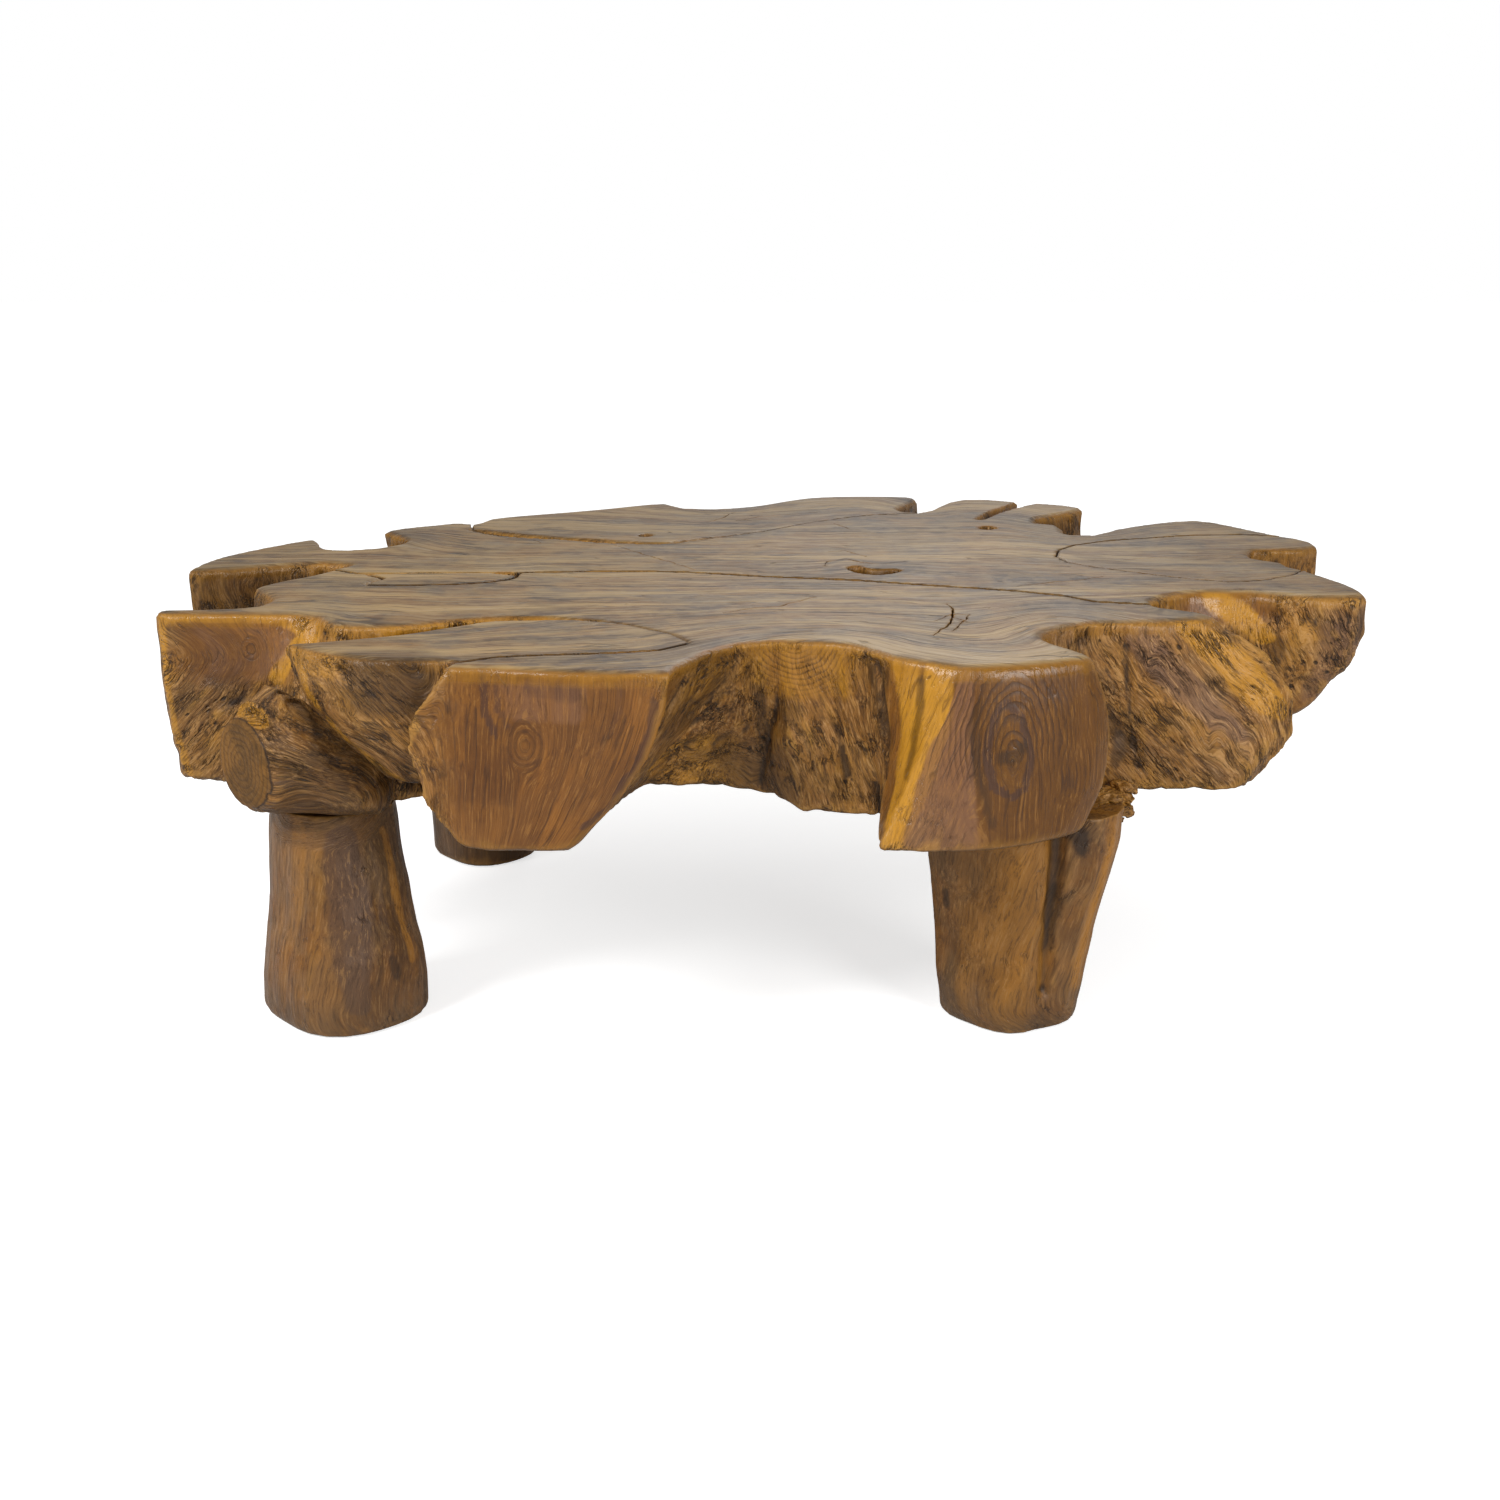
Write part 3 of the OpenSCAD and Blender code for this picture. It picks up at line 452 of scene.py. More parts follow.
def neighbour_mean(p, ends):
    """Mean place of the points joined to each point by an edge."""
    count = np.bincount(ends.ravel(), minlength=len(p)).clip(1)
    total = np.empty_like(p)
    a, b = ends.T
    for axis in range(p.shape[1]):
        first = np.bincount(a, weights=p[b, axis], minlength=len(p))
        second = np.bincount(b, weights=p[a, axis], minlength=len(p))
        total[:, axis] = (first + second) / count
    return total


def smoothed(p, ends, share, rounds):
    """Smooths the points and keeps the volume, with a push back after each round."""
    for _ in range(rounds):
        p = p + (neighbour_mean(p, ends) - p) * (0.6 * share)[:, None]
        p = p - (neighbour_mean(p, ends) - p) * (0.61 * share)[:, None]
    return p


def to_plain_mesh(obj):
    """Puts the object's modifiers into its mesh."""
    graph = bpy.context.evaluated_depsgraph_get()
    mesh = bpy.data.meshes.new_from_object(obj.evaluated_get(graph))
    old = obj.data
    obj.modifiers.clear()
    obj.data = mesh
    bpy.data.meshes.remove(old)


def even_copy(node, spacing):
    """A copy of a solid with an even mesh of small faces."""
    obj = new_object(node + "_wood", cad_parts[node].data.copy())
    work = bmesh.new()
    work.from_mesh(obj.data)
    bmesh.ops.remove_doubles(work, verts=work.verts, dist=0.01 * MM)
    work.to_mesh(obj.data)
    work.free()
    remesh = obj.modifiers.new("even_mesh", "REMESH")
    remesh.mode = "VOXEL"
    remesh.voxel_size = spacing
    to_plain_mesh(obj)
    return obj


def room_to_others(node, p):
    """Distance of each point from the nearest other wooden piece, up to 30 mm."""
    far = 30 * MM
    work = bmesh.new()
    for other in WOODEN:
        if other != node:
            work.from_mesh(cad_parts[other].data)
    tree = BVHTree.FromBMesh(work)
    work.free()
    found = [tree.find_nearest(q, far)[3] for q in p]
    return np.array([far if d is None else d for d in found])


def cut(obj, cutter):
    """Cuts the cutter out of the object and removes the cutter."""
    carve = obj.modifiers.new("cut", "BOOLEAN")
    carve.operation = "DIFFERENCE"
    carve.solver = "MANIFOLD"
    carve.object = cutter
    to_plain_mesh(obj)
    bpy.data.objects.remove(cutter)


def store(mesh, name, values):
    """Stores a number or a vector for each point."""
    kind, field = ("FLOAT", "value") if values.ndim == 1 else ("FLOAT_VECTOR", "vector")
    layer = mesh.attributes.new(name, kind, "POINT")
    layer.data.foreach_set(field, values.astype(np.float32).ravel())


# ---------- fibres

def sweep_of_front_face(p):
    """How far the fibres of the front left face swing along its curved right edge."""
    share = zone_share(p, (-225, -512, 350), (150, 44, 140))
    fall = np.clip((FACE_HIGH * MM - p[:, 2]) / (FACE_DROP * MM), 0, 1.1)
    edge = FACE_RIGHT * MM - FACE_SWING * MM * fall ** 1.8
    left = FACE_LEFT * MM
    across = np.clip((p[:, 0] - left) / (edge - left), 0, 1.2)
    return (edge - FACE_RIGHT * MM) * across ** 1.6 * share


def part_round_eyes(p, across):
    """Bends the fibres round knots and closes them to loops inside."""
    for x, y, z, radius in EYES:
        off = (p - np.array([x, y, z]) * MM) / MM
        near = soft(60, 30, np.abs(off[:, 1]))
        side = off[:, 0]
        d = np.sqrt(side ** 2 + (off[:, 2] / 1.7) ** 2) + 0.01
        push = side * np.minimum((radius / d) ** 2, 1) * np.exp(-(d / (5 * radius)) ** 2)
        inside = side - (d - radius)
        move = np.where(d > radius, push, inside)
        across = across - move * near * MM
    return across


def fibre_place(p):
    """Each point's place across and along the fibres of the walls, z being along."""
    lean = np.zeros(len(p))
    for amount, middle, half in LEANS:
        lean += amount * zone_share(p, middle, half)
    rough = 1 - 0.7 * zones(p, "sawn")
    wander = 0.018 * (layered(p / 0.09, 5, 2) - 0.5) + 0.006 * (noise(p / 0.025, 7) - 0.5) * rough
    across = p[:, 0] - lean * (p[:, 2] - 0.35) - sweep_of_front_face(p)
    across = part_round_eyes(p, across) + wander
    return np.stack([across, p[:, 1] + wander, p[:, 2]], axis=1)


def top_place(p):
    """Each point's place across and along the grain of the top, z being along."""
    across = p[:, 1].copy()
    for x, y, push, reach_x, reach_y in BENDS:
        dx = (p[:, 0] - x * MM) / (reach_x * MM)
        dy = (p[:, 1] - y * MM) / (reach_y * MM)
        across -= push * MM * np.exp(-dx * dx - dy * dy)
    flat = np.stack([p[:, 0], p[:, 1], np.zeros(len(p))], axis=1)
    across += 0.05 * (layered(flat / 0.30, 21, 2) - 0.5)
    across += 0.016 * (layered(flat / 0.07, 23, 2) - 0.5)
    return np.stack([across, np.zeros(len(p)), p[:, 0]], axis=1)


# ---------- carving

def ridges(p, seed):
    """Sharp ridges of noise, from -0.65 to 0.35."""
    return 0.35 - np.abs(layered(p, seed, 2) - 0.5) * 2


def wall_relief(p, fibres, sawn):
    """How far the wood of a wall lies below its general form, in metres."""
    rough = 1 - 0.92 * sawn
    lumps = layered(p / 0.060, 1, 3) - 0.5
    ropes = ridges(fibres / np.array([0.020, 0.020, 0.15]), 31)
    strings = noise(fibres / np.array([0.010, 0.010, 0.05]), 41) - 0.5
    torn = soft(0.56, 0.70, noise(fibres / np.array([0.014, 0.014, 0.034]), 51))
    patch = soft(0.42, 0.60, noise(p / 0.06, 53))
    depth = 7.0 * lumps + 3.5 * ropes + 1.8 * strings + 2.8 * torn * patch
    waves = 3.0 * (noise(p / 0.10, 61) - 0.5)
    return MM * (depth * rough + waves * sawn)


def hand_relief(p):
    """Listed holes, bumps and crevices, as depth in metres."""
    holes = np.zeros(len(p))
    for x, y, z, radius, high in SPOTS:
        d = np.linalg.norm(p - np.array([x, y, z]) * MM, axis=1) / (radius * MM)
        holes -= high * MM * np.exp(-d * d * 1.2)
    clefts = np.zeros(len(p))
    wander = 0.7 + 0.6 * noise(p / 0.02, 71)
    for half, deep, line in CREVICES:
        d, _ = line_reach(p, [(*(MM * np.array(q)), 0) for q in line])
        clefts += deep * MM * np.exp(-(d / (half * MM * wander)) ** 2)
    return holes + clefts


def sink_grooves(p, n):
    """Worn grooves and slight waves in the sanded top."""
    flat = p[:, :2] / MM
    upper = soft(TOP - 12 * MM, TOP - 3 * MM, p[:, 2]) * soft(0.2, 0.6, n[:, 2])
    wander = 0.75 + 0.5 * noise(p / 0.018, 81)
    deep = np.zeros(len(p))
    for line in (GOLDEN_GROOVE, LENS_GROOVE):
        d, half = line_reach(flat, line)
        half = np.maximum(half, 1) * wander
        deep = np.maximum(deep, np.minimum(half * 0.9, 11) * soft(1.15, 0.25, d / half))
    waves = 0.7 * layered(p / 0.14, 83, 2)
    p = p.copy()
    p[:, 2] -= upper * MM * (deep + waves)
    return p


def crack_cutter(width, line, seed):
    """A wedge along a ragged line, which opens a crack in the top."""
    line = np.array(line, float)
    places = [line[0]]
    for a, b in zip(line[:-1], line[1:]):
        steps = max(1, int(np.linalg.norm(b - a) / 4))
        places += [a + (b - a) * (k + 1) / steps for k in range(steps)]
    places = np.array(places)
    runs = np.gradient(places, axis=0)
    sides = np.stack([-runs[:, 1], runs[:, 0]], axis=1)
    sides /= np.linalg.norm(sides, axis=1)[:, None]
    along = np.arange(len(places)) * 0.45
    spots = np.stack([along, along * 0, along * 0], axis=1)
    places += sides * (6 * (layered(spots * 0.6, seed, 3) - 0.5))[:, None]
    taper = np.sin(np.linspace(0.12, math.pi - 0.12, len(places))) ** 0.6
    half = width / 2 * taper * (0.45 + 1.1 * noise(spots * 1.7, seed + 9))
    work = bmesh.new()
    rows = []
    for place, side, h in zip(places, sides, half):
        corners = [(place + side * h, 1), (place - side * h, 1), (place, -2 - 5 * h)]
        rows.append([work.verts.new((q[0] * MM, q[1] * MM, TOP + up * MM)) for q, up in corners])
    for a, b in zip(rows[:-1], rows[1:]):
        for k in range(3):
            m = (k + 1) % 3
            work.faces.new((a[k], b[k], b[m], a[m]))
    work.faces.new(rows[0])
    work.faces.new(rows[-1][::-1])
    bmesh.ops.recalc_face_normals(work, faces=work.faces)
    return new_object("crack_cutter", mesh_from(work, "crack_cutter"))


def open_cracks(obj, node):
    for seed, (owner, width, line) in enumerate(CRACKS):
        if owner == node:
            cut(obj, crack_cutter(width, line, 100 + seed))


# ---------- marks for the finishes

def rim_nearness(p, n, room):
    """1 at the natural edge of the top, falling to 0 about two centimetres away."""
    arris = (p[:, 2] > TOP - 14 * MM) & (p[:, 2] < TOP - 5 * MM)
    arris &= (np.abs(n[:, 2]) < 0.8) & (room > 6 * MM)
    places = p[arris]
    if not len(places):
        return np.zeros(len(p))
    tree = KDTree(len(places))
    for k, q in enumerate(places):
        tree.insert((q[0], q[1], 0), k)
    tree.balance()
    upper = p[:, 2] > TOP - 16 * MM
    far = np.maximum(TOP - p[:, 2], 0)
    far[upper] = [tree.find((q[0], q[1], 0))[2] for q in p[upper]]
    return np.exp(-far / RIM_REACH)


def ring_marks(p):
    """Distance from the nearest heart, and how strong the growth rings are there."""
    best = np.full(len(p), 9.0)
    share = np.zeros(len(p))
    for middle, (wide, high), limit, strength, below in HEARTS:
        d = p - np.array(middle) * MM
        strength = strength * (below + (1 - below) * soft(-40 * MM, 15 * MM, d[:, 2]))
        reach = np.sqrt((d[:, 0] / wide) ** 2 + (d[:, 1] * 0.6) ** 2 + (d[:, 2] * high) ** 2)
        best = np.minimum(best, reach)
        share = np.maximum(share, strength * soft(limit * 1.1, limit * 0.6, reach / MM))
    return best + 0.008 * (layered(p / 0.04, 91, 2) - 0.5), share


def hollowness(p, n, ends):
    """1 deep in a crevice, 0.5 on a plane, 0 on a ridge."""
    wide = p
    for _ in range(4):
        wide = neighbour_mean(wide, ends)
    broad = ((wide - p) * n).sum(axis=1)
    return np.clip(0.5 + broad / (6 * MM), 0, 1)


def mark(obj, room):
    """Stores what the materials need to know about each point."""
    mesh = obj.data
    p = points_of(mesh)
    n = normals_of(mesh)
    place = ragged(p)
    rings, ring_share = ring_marks(p)
    flat_top = soft(TOP - 6 * MM, TOP - 1.5 * MM, p[:, 2]) * soft(0.45, 0.9, n[:, 2])
    store(mesh, "flat_top", flat_top)
    # The dark mark holds knots, streaks and dark lines, and painted shade in recesses, hollows and
    # shadows and at the back of the top.
    for finish in ("sawn", "gold", "amber", "purple", "plum", "dark"):
        store(mesh, finish, zones(place, finish))
    store(mesh, "rim", rim_nearness(p, n, room))
    store(mesh, "joint", soft(4 * MM, 1.5 * MM, room))
    store(mesh, "rings", rings)
    store(mesh, "ring_share", ring_share)
    store(mesh, "sawn_end", sawn_end(p))
    store(mesh, "hollow", hollowness(p, n, edges_of(mesh)))
    # Painted shade: a mark for faces that look down, which the finishes darken.
    store(mesh, "under", soft(-0.4, -0.9, n[:, 2]))
    store(mesh, "top_grain", top_place(p))
    store(mesh, "wall_grain", fibre_place(p))


# ---------- nodes

def tone(text):
    """A colour written as red, green and blue in hex, as Blender wants it."""
    parts = [int(text[k:k + 2], 16) / 255 for k in (1, 3, 5)]
    plain = [c / 12.92 if c <= 0.04045 else ((c + 0.055) / 1.055) ** 2.4 for c in parts]
    return (*plain, 1)


def feed(made, inputs):
    """Gives a node its inputs: plain values, or sockets to link from."""
    for key, value in inputs.items():
        if isinstance(value, bpy.types.NodeSocket):
            made.id_data.links.new(value, made.inputs[key])
        else:
            made.inputs[key].default_value = value


class Nodes:
    """Adds nodes to one tree."""

    def __init__(self, tree):
        self.tree = tree

    def add(self, kind, inputs, **settings):
        made = self.tree.nodes.new("ShaderNode" + kind)
        for name, value in settings.items():
            setattr(made, name, value)
        feed(made, inputs)
        return made

    def maths(self, operation, a, b=0.0):
        return self.add("Math", {0: a, 1: b}, operation=operation).outputs[0]

    def plus(self, a, b):
        return self.maths("ADD", a, b)

    def minus(self, a, b):
        return self.maths("SUBTRACT", a, b)

    def times(self, a, b):
        return self.maths("MULTIPLY", a, b)

    def vector(self, operation, a, b):
        key = "Scale" if operation == "SCALE" else 1
        return self.add("VectorMath", {0: a, key: b}, operation=operation).outputs[0]

    def ramp(self, value, low, high, to_low=0.0, to_high=1.0):
        """The value's smooth step from low to high."""
        inputs = {"Value": value, "From Min": low, "From Max": high, "To Min": to_low, "To Max": to_high}
        return self.add("MapRange", inputs, interpolation_type="SMOOTHSTEP").outputs[0]

    def mixed(self, share, a, b):
        return self.add("Mix", {0: share, 6: a, 7: b}, data_type="RGBA").outputs[2]

    def tinted(self, colour, share, strength, name):
        """The colour with another one laid over it, by a mask and a strength."""
        return self.mixed(self.times(share, strength), colour, tone(name))

    def marked(self, name, kind="Fac"):
        return self.add("Attribute", {}, attribute_name=name).outputs[kind]

    def placed(self, group, **inputs):
        return self.add("Group", inputs, node_tree=group).outputs

    def noise(self, place, size, detail, rough=0.5):
        inputs = {"Vector": place, "Scale": size, "Detail": detail, "Roughness": rough}
        return self.add("TexNoise", inputs).outputs

    def cells(self, place, size):
        return self.add("TexVoronoi", {"Vector": place, "Scale": size, "Randomness": 1.0}).outputs

    def bent(self, place, size, amount):
        """The place moved about a little by noise, so that lines waver."""
        off = self.vector("SUBTRACT", self.noise(place, size, 2.0)["Color"], (0.5, 0.5, 0.5))
        return self.vector("ADD", place, self.vector("SCALE", off, amount))

    def stretched(self, place, fibres, length):
        """The place scaled to the fibres' count per metre and drawn out along them."""
        size = self.add("CombineXYZ", {0: fibres, 1: fibres, 2: self.maths("DIVIDE", fibres, length)})
        return self.vector("MULTIPLY", place, size.outputs[0])

    def thin_line(self, field, wide, narrow):
        """1 where a field crosses its middle, 0 off that line."""
        return self.ramp(self.maths("ABSOLUTE", self.minus(field, 0.5)), wide, narrow)

    def patch(self, field, share, edge):
        """1 in the highest part of a field, whose size is the share."""
        where = self.minus(1.0, share)
        return self.ramp(field, where, self.plus(where, edge))


def new_group(name, inputs, wire):
    """A node group. A number makes a float input and None a vector; wire gives its outputs."""
    tree = bpy.data.node_groups.new(name, "ShaderNodeTree")
    for label, value in inputs.items():
        kind = "NodeSocketVector" if value is None else "NodeSocketFloat"
        socket = tree.interface.new_socket(label, in_out="INPUT", socket_type=kind)
        if value is not None:
            socket.default_value = value
    made = wire(Nodes(tree), tree.nodes.new("NodeGroupInput").outputs)
    for label in made:
        tree.interface.new_socket(label, in_out="OUTPUT", socket_type="NodeSocketFloat")
    feed(tree.nodes.new("NodeGroupOutput"), made)
    return tree


def wire_grain(t, start):
    """Long fibres: broad streaks, fine fibres and thin dark lines."""
    swayed = t.bent(start["Place"], 22.0, start["Waver"])
    place = t.stretched(swayed, start["Fibres"], start["Length"])
    band = t.noise(t.vector("SCALE", place, 0.45), 1.0, 1.5)[0]
    faint = t.noise(start["Place"], 19.0, 1.0)[0]
    return {
        "Streaks": t.noise(t.vector("SCALE", place, 0.22), 1.0, 4.0, 0.6)[0],
        "Fine": t.noise(place, 1.0, 4.0, 0.7)[0],
        "Lines": t.times(t.thin_line(band, 0.030, 0.0), t.ramp(faint, 0.42, 0.62)),
    }


def wire_splits(t, start):
    """Short broken splits that follow the fibres, and flakes of torn wood between them."""
    swayed = t.bent(start["Place"], 55.0, 0.010)
    place = t.stretched(swayed, start["Fibres"], start["Length"])
    band = t.noise(place, 1.0, 2.5, 0.6)[0]
    area = t.noise(start["Place"], 34.0, 2.0)[0]
    cells = t.cells(place, 1.3)
    return {
        "Split": t.times(t.thin_line(band, 0.045, 0.006), t.patch(area, start["Share"], 0.12)),
        "Flake": t.add("SeparateColor", {0: cells["Color"]}).outputs[0],
    }


def wire_rings(t, start):
    """Growth rings of a sawn face, from the distance to its heart."""
    shift = t.times(t.noise(start["Place"], 30.0, 3.0)[0], 0.012)
    turns = t.maths("DIVIDE", t.plus(start["Reach"], shift), start["Width"])
    saw = t.maths("FRACT", turns)
    return {"Ring": t.times(t.ramp(saw, 0.35, 0.9), t.ramp(saw, 1.0, 0.93))}


def wire_pits(t, start):
    """Small holes and nicks scattered over the wood."""
    cells = t.cells(t.bent(start["Place"], 90.0, 0.006), start["Size"])
    seldom = t.noise(start["Place"], 26.0, 2.0)[0]
    hole = t.ramp(cells["Distance"], 0.30, 0.12)
    return {"Pit": t.times(hole, t.patch(seldom, start["Share"], 0.06))}


def wire_blotches(t, start):
    """Large soft patches, where the oil took unevenly."""
    cloud = t.noise(start["Place"], start["Size"], 5.0, 0.6)[0]
    low = t.minus(0.5, start["Sharpness"])
    return {"Blotch": t.ramp(cloud, low, t.plus(0.5, start["Sharpness"]))}


GRAIN = new_group("wood_grain", {"Place": None, "Fibres": 120.0, "Length": 12.0, "Waver": 0.004},
                  wire_grain)
SPLITS = new_group("wood_splits", {"Place": None, "Fibres": 60.0, "Length": 4.0, "Share": 0.5},
                   wire_splits)
RINGS = new_group("growth_rings", {"Reach": 0.0, "Width": 0.005, "Place": None}, wire_rings)
PITS = new_group("pits", {"Place": None, "Size": 90.0, "Share": 0.3}, wire_pits)
BLOTCHES = new_group("blotches", {"Place": None, "Size": 8.0, "Sharpness": 0.12}, wire_blotches)


# ---------- finishes
# Each finish gives the colour, roughness and height of the surface.

class Finish(Nodes):
    """Nodes of one finish. Its colour is built up in layers, and so is its height."""

    def __init__(self, tree, place, flow="wall_grain"):
        super().__init__(tree)
        self.place = place
        self.flow = self.marked(flow, "Vector")

    def grain(self, fibres, length, waver):
        return self.placed(GRAIN, Place=self.flow, Fibres=fibres, Length=length, Waver=waver)

    def splits(self, fibres, length, share):
        return self.placed(SPLITS, Place=self.flow, Fibres=fibres, Length=length, Share=share)

    def pits(self, size, share):
        return self.placed(PITS, Place=self.flow, Size=size, Share=share)["Pit"]

    def rings(self, width):
        return self.placed(RINGS, Reach=self.marked("rings"), Width=width, Place=self.place)["Ring"]

    def blotch(self, size, sharpness, place=None):
        return self.placed(BLOTCHES, Place=place or self.place, Size=size, Sharpness=sharpness)["Blotch"]

    def streaky(self, mark, grain, low, high):
        """A marked finish that frays out into the streaks of the grain."""
        return self.ramp(self.plus(self.marked(mark), grain["Streaks"]), low, high)

    def start(self, share, dark, light):
        self.colour = self.mixed(share, tone(dark), tone(light))

    def lay(self, share, strength, name, low=None, high=None):
        """Lays a tone over the colour, where a mask or mark says. Low and high make it a ramp."""
        if isinstance(share, str):
            share = self.marked(share)
        if low is not None:
            share = self.ramp(share, low, high)
        self.colour = self.tinted(self.colour, share, strength, name)

    def heights(self, *parts):
        """The sum of some masks, each with its strength."""
        total = None
        for value, strength in parts:
            part = self.times(value, strength)
            total = part if total is None else self.plus(total, part)
        return total

    def rim_highlight(self, grain):
        """A painted golden highlight along the rim, broken up in places by the grain."""
        golden_share = self.times(self.marked("rim"), self.ramp(grain["Fine"], 0.2, 0.7))
        self.lay(golden_share, 0.55, "#9a6a20")

    def polished(self, rough):
        """The roughness, lower where hands and cloths have polished the golden rims."""
        golden_share = self.maths("MAXIMUM", self.marked("rim"), self.marked("gold"))
        return self.times(rough, self.ramp(golden_share, 0.2, 1.0, 1.0, 0.6))


def oiled_top(tree, place, warm):
    """The sanded top: grey-brown and satin, with tan streaks and a painted golden highlight along the
    rim.
    """
    t = Finish(tree, place, "top_grain")
    grain = t.grain(230, 30, 0.004)
    bands = t.grain(85, 13, 0.016)
    broad = t.grain(30, 5, 0.04)
    crack = t.splits(90, 9, 0.36)["Split"]
    t.start(t.ramp(broad["Streaks"], 0.42, 0.58), "#5c4327", warm)
    t.lay(t.blotch(5.5, 0.07, t.flow), 0.55, "#6a5c4e")
    t.lay(t.blotch(9.0, 0.06, t.flow), 0.50, "#966c34")
    t.lay(bands["Streaks"], 0.70, "#b2925f", 0.50, 0.62)
    t.lay(bands["Streaks"], 0.60, "#402d1b", 0.47, 0.38)
    t.lay(t.blotch(42.0, 0.05), 0.22, "#b0925e")
    t.lay("gold", 0.60, "#634519")
    t.lay("purple", 0.40, "#564a44")
    # Dark streaks and crack lines, and painted shade: darker towards the back of the top and inside the
    # hole.
    t.lay("dark", 0.75, "#2a1c10")
    t.lay(bands["Fine"], 0.45, "#382818", 0.52, 0.68)
    t.lay(grain["Fine"], 0.42, "#34271b", 0.52, 0.64)
    t.lay(grain["Fine"], 0.40, "#ac9670", 0.46, 0.35)
    t.lay(bands["Lines"], 0.65, "#2b1e14")
    t.lay(crack, 0.75, "#281b11")
    # Painted golden highlight along the rim of the top, frayed by the streaks.
    rim = t.plus(t.marked("rim"), t.times(bands["Streaks"], 0.9))
    t.lay(rim, 0.75, "#8a5a1c", 0.90, 1.40)
    t.lay("joint", 0.45, "#4a3319")
    rough = t.ramp(grain["Fine"], 0.3, 0.7, 0.32, 0.50)
    height = t.heights((grain["Fine"], 0.22), (bands["Lines"], -0.4), (crack, -0.7))
    return t.colour, rough, height


def sawn_face(tree, place):
    """Faces left by the saw, smoothed and oiled: brown with curving fibres."""
    t = Finish(tree, place)
    grain = t.grain(420, 36, 0.002)
    lines = t.grain(170, 26, 0.004)
    broad = t.grain(62, 9, 0.008)
    ring = t.times(t.rings(0.0058), t.marked("ring_share"))
    pit = t.pits(70, 0.26)
    t.start(t.ramp(broad["Streaks"], 0.40, 0.60), "#5b3611", "#80501b")
    t.lay(t.blotch(11.0, 0.10), 0.40, "#70481f")
    t.lay(t.blotch(24.0, 0.08), 0.25, "#8f5c20")
    t.lay(lines["Streaks"], 0.50, "#4a2b10", 0.52, 0.64)
    t.lay(t.streaky("gold", lines, 0.75, 1.60), 0.95, "#c68d2c")
    t.lay(t.streaky("amber", broad, 0.85, 1.40), 0.88, "#5f3902")
    t.lay(t.streaky("purple", lines, 0.85, 1.25), 0.80, "#7b5539")
    t.lay(t.streaky("plum", lines, 0.75, 1.25), 0.70, "#402a22")
    t.lay(grain["Fine"], 0.50, "#3f240d", 0.52, 0.64)
    t.lay(grain["Fine"], 0.35, "#a37338", 0.46, 0.36)
    t.lay(lines["Lines"], 0.60, "#37200e")
    t.lay(ring, 0.80, "#38200a")
    # Painted highlight: golden on ridges and convex edges.
    t.lay("hollow", 0.26, "#b5822f", 0.44, 0.28)
    # Painted golden highlight along the rim.
    t.rim_highlight(broad)
    # Dark knots and streaks, and painted shade where the dark mark holds it.
    t.lay("dark", 0.65, "#2c1c0c")
    t.lay(pit, 0.8, "#22140a")
    # Painted shade on faces that look down.
    t.lay("under", 0.6, "#2a1b0c")
    rough = t.polished(t.ramp(grain["Fine"], 0.3, 0.7, 0.28, 0.44))
    height = t.heights((grain["Fine"], 0.16), (lines["Lines"], -0.25), (ring, -0.12), (pit, -0.8))
    return t.colour, rough, height


def root_wall(tree, place):
    """Rough fibrous walls: golden brown with painted highlight on the ridges, and painted shade in the
    hollows.
    """
    t = Finish(tree, place)
    grain = t.grain(340, 10, 0.006)
    ropes = t.grain(115, 6, 0.014)
    broad = t.grain(48, 3, 0.02)
    split = t.splits(90, 5, 0.48)
    fine_split = t.splits(210, 6, 0.55)["Split"]
    pit = t.pits(80, 0.40)
    t.start(t.ramp(broad["Streaks"], 0.42, 0.58), "#644217", "#a2712a")
    t.lay(t.blotch(13.0, 0.07), 0.45, "#6e4f2b")
    t.lay(t.blotch(19.0, 0.06), 0.34, "#8f5c20")
    t.lay(ropes["Fine"], 0.60, "#3b240c", 0.53, 0.62)
    t.lay(ropes["Fine"], 0.55, "#b98b50", 0.46, 0.37)
    t.lay(split["Flake"], 0.25, "#b38145", 0.4, 0.9)
    t.lay(t.times(t.rings(0.0075), t.marked("ring_share")), 0.80, "#40250c")
    t.lay(t.streaky("gold", ropes, 0.65, 1.25), 0.80, "#bd8424")
    t.lay(t.streaky("purple", ropes, 0.70, 1.25), 0.65, "#74553f")
    t.lay(grain["Fine"], 0.65, "#33200c", 0.52, 0.62)
    t.lay(grain["Fine"], 0.45, "#c3965f", 0.46, 0.37)
    # Painted highlight on the ridges, and painted shade deep in the hollows.
    t.lay("hollow", 0.45, "#bd8a3c", 0.45, 0.22)
    t.lay("hollow", 0.80, "#221407", 0.56, 0.85)
    # Painted golden highlight along the rim.
    t.rim_highlight(ropes)
    # Dark streaks and lines, and painted shade in hollows, in the recess and beside the stub.
    t.lay("dark", 0.72, "#2b1b0a")
    t.lay(split["Split"], 0.75, "#1f1206")
    t.lay(fine_split, 0.60, "#261608")
    t.lay(pit, 0.85, "#1a0f05")
    t.lay("joint", 0.85, "#2a1a0a")
    # Painted shade on faces that look down.
    t.lay("under", 0.6, "#2a1b0c")
    rough = t.polished(t.ramp(grain["Fine"], 0.3, 0.7, 0.38, 0.60))
    height = t.heights((grain["Fine"], 0.6), (ropes["Fine"], 1.3), (split["Split"], -1.4),
                       (fine_split, -0.6), (split["Flake"], 0.3), (pit, -1.3))
    return t.colour, rough, height


